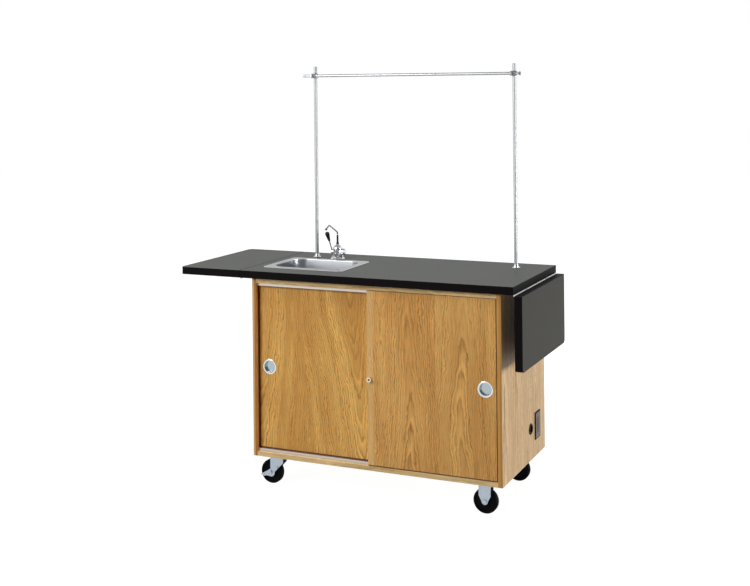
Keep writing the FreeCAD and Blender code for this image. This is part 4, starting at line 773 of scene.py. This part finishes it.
# %% Screw heads and nuts
def screw_head(radius, height, drive):
    """A domed screw head that stands on z = 0, with a slot or a cross cut into it."""
    dome = [(radius * 0.86, height * 0.68), (radius * 0.5, height * 0.94), (0, height)]
    head = spun([(0, 0), (radius, 0), (radius, height * 0.25)] + dome, 20)
    if drive == "slot":
        return notched(head, [((radius * 3, radius * 0.24, height), 0, height * 1.02)])
    groove = (radius * 1.25, radius * 0.22, height)
    return notched(head, [(groove, 0, height * 0.95), (groove, math.pi / 2, height * 0.95)])


def hex_nut(across_flats, height):
    """A hexagon nut with its corners turned off at both ends."""
    corner = across_flats / math.sqrt(3)
    edge = height * 0.18
    low_half = [(0, 0), (corner * 0.9, 0), (corner, edge)]
    high_half = [(corner, height - edge), (corner * 0.9, height), (0, height)]
    return spun(low_half + high_half, 6)


# %% [markdown]
# The lower, upright part of the spout wears a black sleeve down to its collar. It is a
# thin turned tube that is pushed over the spout's own tube, and it turns with the spout.
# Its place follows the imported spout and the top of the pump's body.

# %% Spout sleeve
spout_low, spout_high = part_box("spout")
collar_radius = 0.0060
spout_x = (spout_low.x + spout_high.x) / 2
spout_y = spout_high.y - collar_radius
collar_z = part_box("pump_body")[1].z
sleeve_profile = [
    (0.0061, 0.0005), (0.0066, 0.0011), (0.0066, 0.0049), (0.0060, 0.0064), (0.0050, 0.0072),
    (0.0046, 0.0090), (0.0044, 0.0400), (0.0041, 0.0410), (0.0037, 0.0410),
]
sleeve = spun(sleeve_profile, 40)
sleeve.transform(Matrix.Translation((spout_x, spout_y, collar_z)))
made = piece("spout_sleeve", sleeve, "faucet_spout", grip_plastic)
print("sleeve faces:", len(made.data.polygons))

# %% [markdown]
# The aerator is screwed on the end of the spout. It is a ring with grooves for grip, set
# along the way that the last stretch of the spout points.

# %% Aerator ring
tip_way = Vector((0, -0.905, -0.426))
tip_end = Vector((spout_x, spout_low.y + 0.0020, 1.0594))
ring_start = tip_end - tip_way * 0.0068
ring_radius = 0.0050
end_radius = 0.0046
groove_pitch = 0.0011
ring_profile = [(end_radius, 0.0), (ring_radius, 0.0004)]
for groove in range(4):
    foot = 0.0008 + groove * groove_pitch
    ring_profile += [(ring_radius, foot), (0.0048, foot + 0.0003), (ring_radius, foot + 0.0006)]
ring_profile += [(ring_radius, 0.0054), (end_radius, 0.0058)]
ring_mesh = stamped(spun(ring_profile, 36), [(ring_start, tip_way)])
made = piece("spout_aerator", ring_mesh, "faucet_spout", dark_reflection_chrome)
print("aerator ring faces:", len(made.data.polygons))

# %% [markdown]
# Two slotted screws hold the outlet's cover plate, as on any such plate, one above and
# one below the receptacle. They are stamped from one head.

# %% Cover plate screws
plate_low, plate_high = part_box("wall_plate")
plate_middle = (plate_low + plate_high) / 2
screw_reach = 0.0416
screw_x = plate_high.x - 0.0004
plate_screws = [((screw_x, plate_middle.y, plate_middle.z + way * screw_reach), (1, 0, 0)) for way in (-1, 1)]
screws = stamped(screw_head(0.0034, 0.0014, "slot"), plate_screws)
piece("cover_plate_screws", screws, "cabinet", button_plastic)
print("cover plate screws:", len(plate_screws))

# %% [markdown]
# Each caster turns on an axle bolt. Its ends get hexagon nuts, which sit on the fork's
# cheeks, and on the braked side over the pedal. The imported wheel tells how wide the
# fork is. A nut rides with the piece that its axle is fixed in.

# %% Axle nuts
fork_wall = 0.0034
pedal_wall = 0.0036
nut_height = 0.0044
nut_width = 0.0154
nut_count = 0
for row in ("front", "back"):
    for side in ("left", "right"):
        wheel_low, wheel_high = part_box("wheel_" + row + "_" + side)
        hub = (wheel_low + wheel_high) / 2
        near = wheel_low.y - fork_wall - (pedal_wall if side == "left" else 0)
        far = wheel_high.y + fork_wall
        places = [((hub.x, near, hub.z), (0, -1, 0)), ((hub.x, far, hub.z), (0, 1, 0))]
        nuts = stamped(hex_nut(nut_width, nut_height), places)
        carrier = "caster_" + row + "_left" if side == "left" else "cabinet"
        piece("axle_nuts_" + row + "_" + side, nuts, carrier, zinc)
        nut_count += len(places)
print("axle nuts:", nut_count)

# %% [markdown]
# Four lag screws with hexagon heads hold each caster's plate under the cabinet's floor.
# Their holes stand at the corners of the plate, clear of the fork as it swivels.

# %% Lag screws of the caster plates
plate_thickness = 0.003
half_plate = 0.03335
hole_across = 0.038
hole_along = 0.0245
lag_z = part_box("bottom_panel")[0].z - plate_thickness
lag_places = []
for low, high in (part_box("caster_plates"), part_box("rigid_forks")):
    for plate_y in (low.y + half_plate, high.y - half_plate):
        for across in (-hole_across, hole_across):
            for along in (-hole_along, hole_along):
                lag_places.append((((low.x + high.x) / 2 + across, plate_y + along, lag_z), (0, 0, -1)))
piece("caster_plate_screws", stamped(hex_nut(0.0115, 0.0042), lag_places), "cabinet", zinc)
print("lag screws:", len(lag_places))

# %% [markdown]
# A piano hinge is held by a row of small screws in each flap, and each fold bracket by
# two in each half. The left leaf is up and the right leaf hangs, so the same rows are
# laid out once about the hinge line and turned with the leaf. Screws of the hinge that
# would lie under a bracket are left out.

# %% Screws of the hinges and brackets
hinge_height = 0.87945
left_hinge = -0.479825
right_hinge = 0.740975
bracket_y = (-0.1524, 0.1524)
bracket_clearance = 0.027
screw_pitch = 0.044
screw_start = 0.286
hinge_rows = [index * screw_pitch - screw_start for index in range(14)]
hinge_rows = [y for y in hinge_rows if all(abs(y - place) > bracket_clearance for place in bracket_y)]


def flap_screws(hinge_x, way, hanging):
    """Places of the screws in one flap: way is +1 or -1 along X, and hanging turns it down."""
    flap_hole, flap_seat = 0.015, 0.0021
    bracket_hole, bracket_seat, bracket_half = 0.037, 0.0013, 0.012
    places = [(flap_hole, y, flap_seat) for y in hinge_rows]
    for middle in bracket_y:
        places += [(bracket_hole, middle + side * bracket_half, bracket_seat) for side in (-1, 1)]
    if hanging:
        return [((hinge_x + up, y, hinge_height - out), (-1, 0, 0)) for out, y, up in places]
    return [((hinge_x + way * out, y, hinge_height + up), (0, 0, -1)) for out, y, up in places]


fixed_places = flap_screws(left_hinge, 1, False) + flap_screws(right_hinge, -1, False)
for name, body, places in (
    ("hinge_screws_fixed", "cabinet", fixed_places),
    ("hinge_screws_left", "left_leaf", flap_screws(left_hinge, -1, False)),
    ("hinge_screws_right", "right_leaf", flap_screws(right_hinge, 1, True)),
):
    piece(name, stamped(screw_head(0.0030, 0.0009, "cross"), places), body, hinge_metal)
    print(name, len(places))

# %% [markdown]
# The thin back is screwed to the rail, the floor and the partition, with heads that stay
# in sight on the back of the cabinet. Nothing there needs to look better than this.

# %% Screws of the back panel
edge_inset = 0.0095
column_inset = 0.030
column_pitch = 0.1447
part_start = 0.12
part_pitch = 0.165
back_low, back_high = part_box("back_panel")
part_low, part_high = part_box("centre_partition")
seat_y = back_high.y - 0.0002
back_spots = []
for index in range(8):
    for z in (back_low.z + edge_inset, back_high.z - edge_inset):
        back_spots.append((back_low.x + column_inset + index * column_pitch, z))
for index in range(4):
    back_spots.append(((part_low.x + part_high.x) / 2, back_low.z + part_start + index * part_pitch))
back_places = [((x, seat_y, z), (0, 1, 0)) for x, z in back_spots]
back_screws = stamped(screw_head(0.0042, 0.0019, "cross"), back_places)
piece("back_panel_screws", back_screws, "cabinet", zinc)
print("back panel screws:", len(back_places))

# %% [markdown]
# The floor is white for the camera and for mirrors, so the picture has a clean white
# ground, while the lamps light the station. About half of the floor's brightness is real
# light, which keeps a soft shadow under the casters. Farther out the glow takes a little
# more of it, so that the floor melts into the room.

# %% Floor
floor_mesh = bmesh.new()
bmesh.ops.create_grid(floor_mesh, x_segments=1, y_segments=1, size=14)
floor = mesh_object("floor", floor_mesh)
floor_finish = Finish("white floor")
floor_finish.surface(Base_Color=(0.3, 0.3, 0.3), Roughness=0.9, Specular_IOR_Level=0.0)
seen = floor_finish.rays("Is Camera Ray", "Is Glossy Ray", "Is Transmission Ray")
floor_x, floor_y, _ = floor_finish.place()
white_share = 0.50 + floor_finish.step(length_of(floor_x, floor_y), 0.9, 2.4) * 0.04
glow = floor_finish.add("ShaderNodeEmission", {}, {"Color": (1, 1, 1), "Strength": 1.94})
matt = Field(floor_finish, floor_finish.shader.outputs[0])
mixed = floor_finish.add("ShaderNodeMixShader", {}, {0: seen * white_share, 1: matt, 2: glow})
floor_finish.fill(floor_finish.nodes["Material Output"].inputs["Surface"], mixed)
floor.data.materials.append(floor_finish.material)
print("floor:", tuple(round(size, 1) for size in floor.dimensions))

# %% [markdown]
# The world is white for the camera and nearly dark as a light, since the lamps do the
# lighting. Metal needs something dark to mirror as well, or it looks like paper. So, as
# in a real studio, mirrors see a dim side of the room in front of the station, where the
# camera stands, and a dim ceiling.

# %% World
class Room(Finish):
    """The world's own nodes, filled in the same way as a material's."""

    def __init__(self, made):
        self.nodes = made.node_tree.nodes
        self.links = made.node_tree.links


world = bpy.data.worlds.new("studio")
bpy.context.scene.world = world
world.use_nodes = True
room = Room(world)
to_camera = room.rays("Is Camera Ray")
to_mirror = room.rays("Is Glossy Ray", "Is Transmission Ray")
room_x, room_y, room_z = room.split(room.add("ShaderNodeTexCoord", output="Generated"))
front = room.step(room_x * 0.41 - room_y * 0.91, 0.35, 0.95)
ceiling = room.step(room_z, 0.3, 0.95)
mirrored_room = 1.0 - (front * 0.78).maths("MAXIMUM", ceiling * 0.60)
room_light = 0.03
strength = room_light + to_mirror * (mirrored_room - room_light)
strength = strength + to_camera * (1.0 - strength)
background = room.nodes["Background"]
room.fill(background.inputs["Color"], (1, 1, 1))
room.fill(background.inputs["Strength"], strength)
print("nodes of the room:", len(room.nodes))

# %% [markdown]
# Five soft lamps. A low one on the right makes the side panel pale, and its light stops
# short at the hanging leaf, so the panel beside the leaf is dark. One in front and one on
# the left light the doors, more so at their upper left. One above lights the worktop,
# and a weak one behind keeps the back of the cabinet readable.

# %% Lamps
station_middle = Vector((0, 0, 0.8))


def lamp(name, place, size, power, mirrored=True):
    """A rectangular lamp that points at the station; mirrored says whether metal shows it."""
    data = bpy.data.lights.new(name, "AREA")
    data.shape = "RECTANGLE"
    data.size, data.size_y = size
    data.energy = power
    made = bpy.data.objects.new(name, data)
    made.location = place
    made.rotation_euler = (station_middle - Vector(place)).to_track_quat("-Z", "Y").to_euler()
    bpy.context.scene.collection.objects.link(made)
    made.visible_camera = False
    made.visible_glossy = mirrored


lamp("key on the right", (5.0, -0.1, 0.8), (1.0, 1.2), 112)
lamp("soft light in front", (-1.8, -3.3, 3.1), (1.6, 1.4), 82)
lamp("fill on the left", (-3.0, -4.9, 2.4), (3.2, 2.6), 62)
lamp("soft light above", (0.2, -0.6, 4.6), (3.6, 3.0), 176, mirrored=False)
lamp("soft light behind", (-0.8, 5.0, 2.4), (3.0, 2.4), 70, mirrored=False)
print("lamps:", len(bpy.data.lights))

# %% [markdown]
# The camera was found from the photograph: the worktop's known size and height fix its
# place. It stands off the station's right front corner and level, so uprights stay
# upright, and its lens is shifted down as a view camera's is.

# %% Camera
camera_data = bpy.data.cameras.new("camera")
camera_data.lens = 58.0
camera_data.shift_x = 0.0045
camera_data.shift_y = -0.2782
camera = bpy.data.objects.new("camera", camera_data)
bpy.context.scene.collection.objects.link(camera)
camera_place = Vector((2.1664, -4.7810, 1.7037))
camera_turn = 0.4233
camera_roll = -0.0102
upright_view = Euler((math.pi / 2, 0, 0)).to_matrix().to_4x4()
turned = Matrix.Rotation(camera_turn, 4, "Z") @ upright_view @ Matrix.Rotation(camera_roll, 4, "Z")
camera.matrix_world = Matrix.Translation(camera_place) @ turned
bpy.context.scene.camera = camera
bpy.context.scene.view_settings.view_transform = "Standard"
print("camera stands", round(camera_place.length, 2), "m from the model's origin")
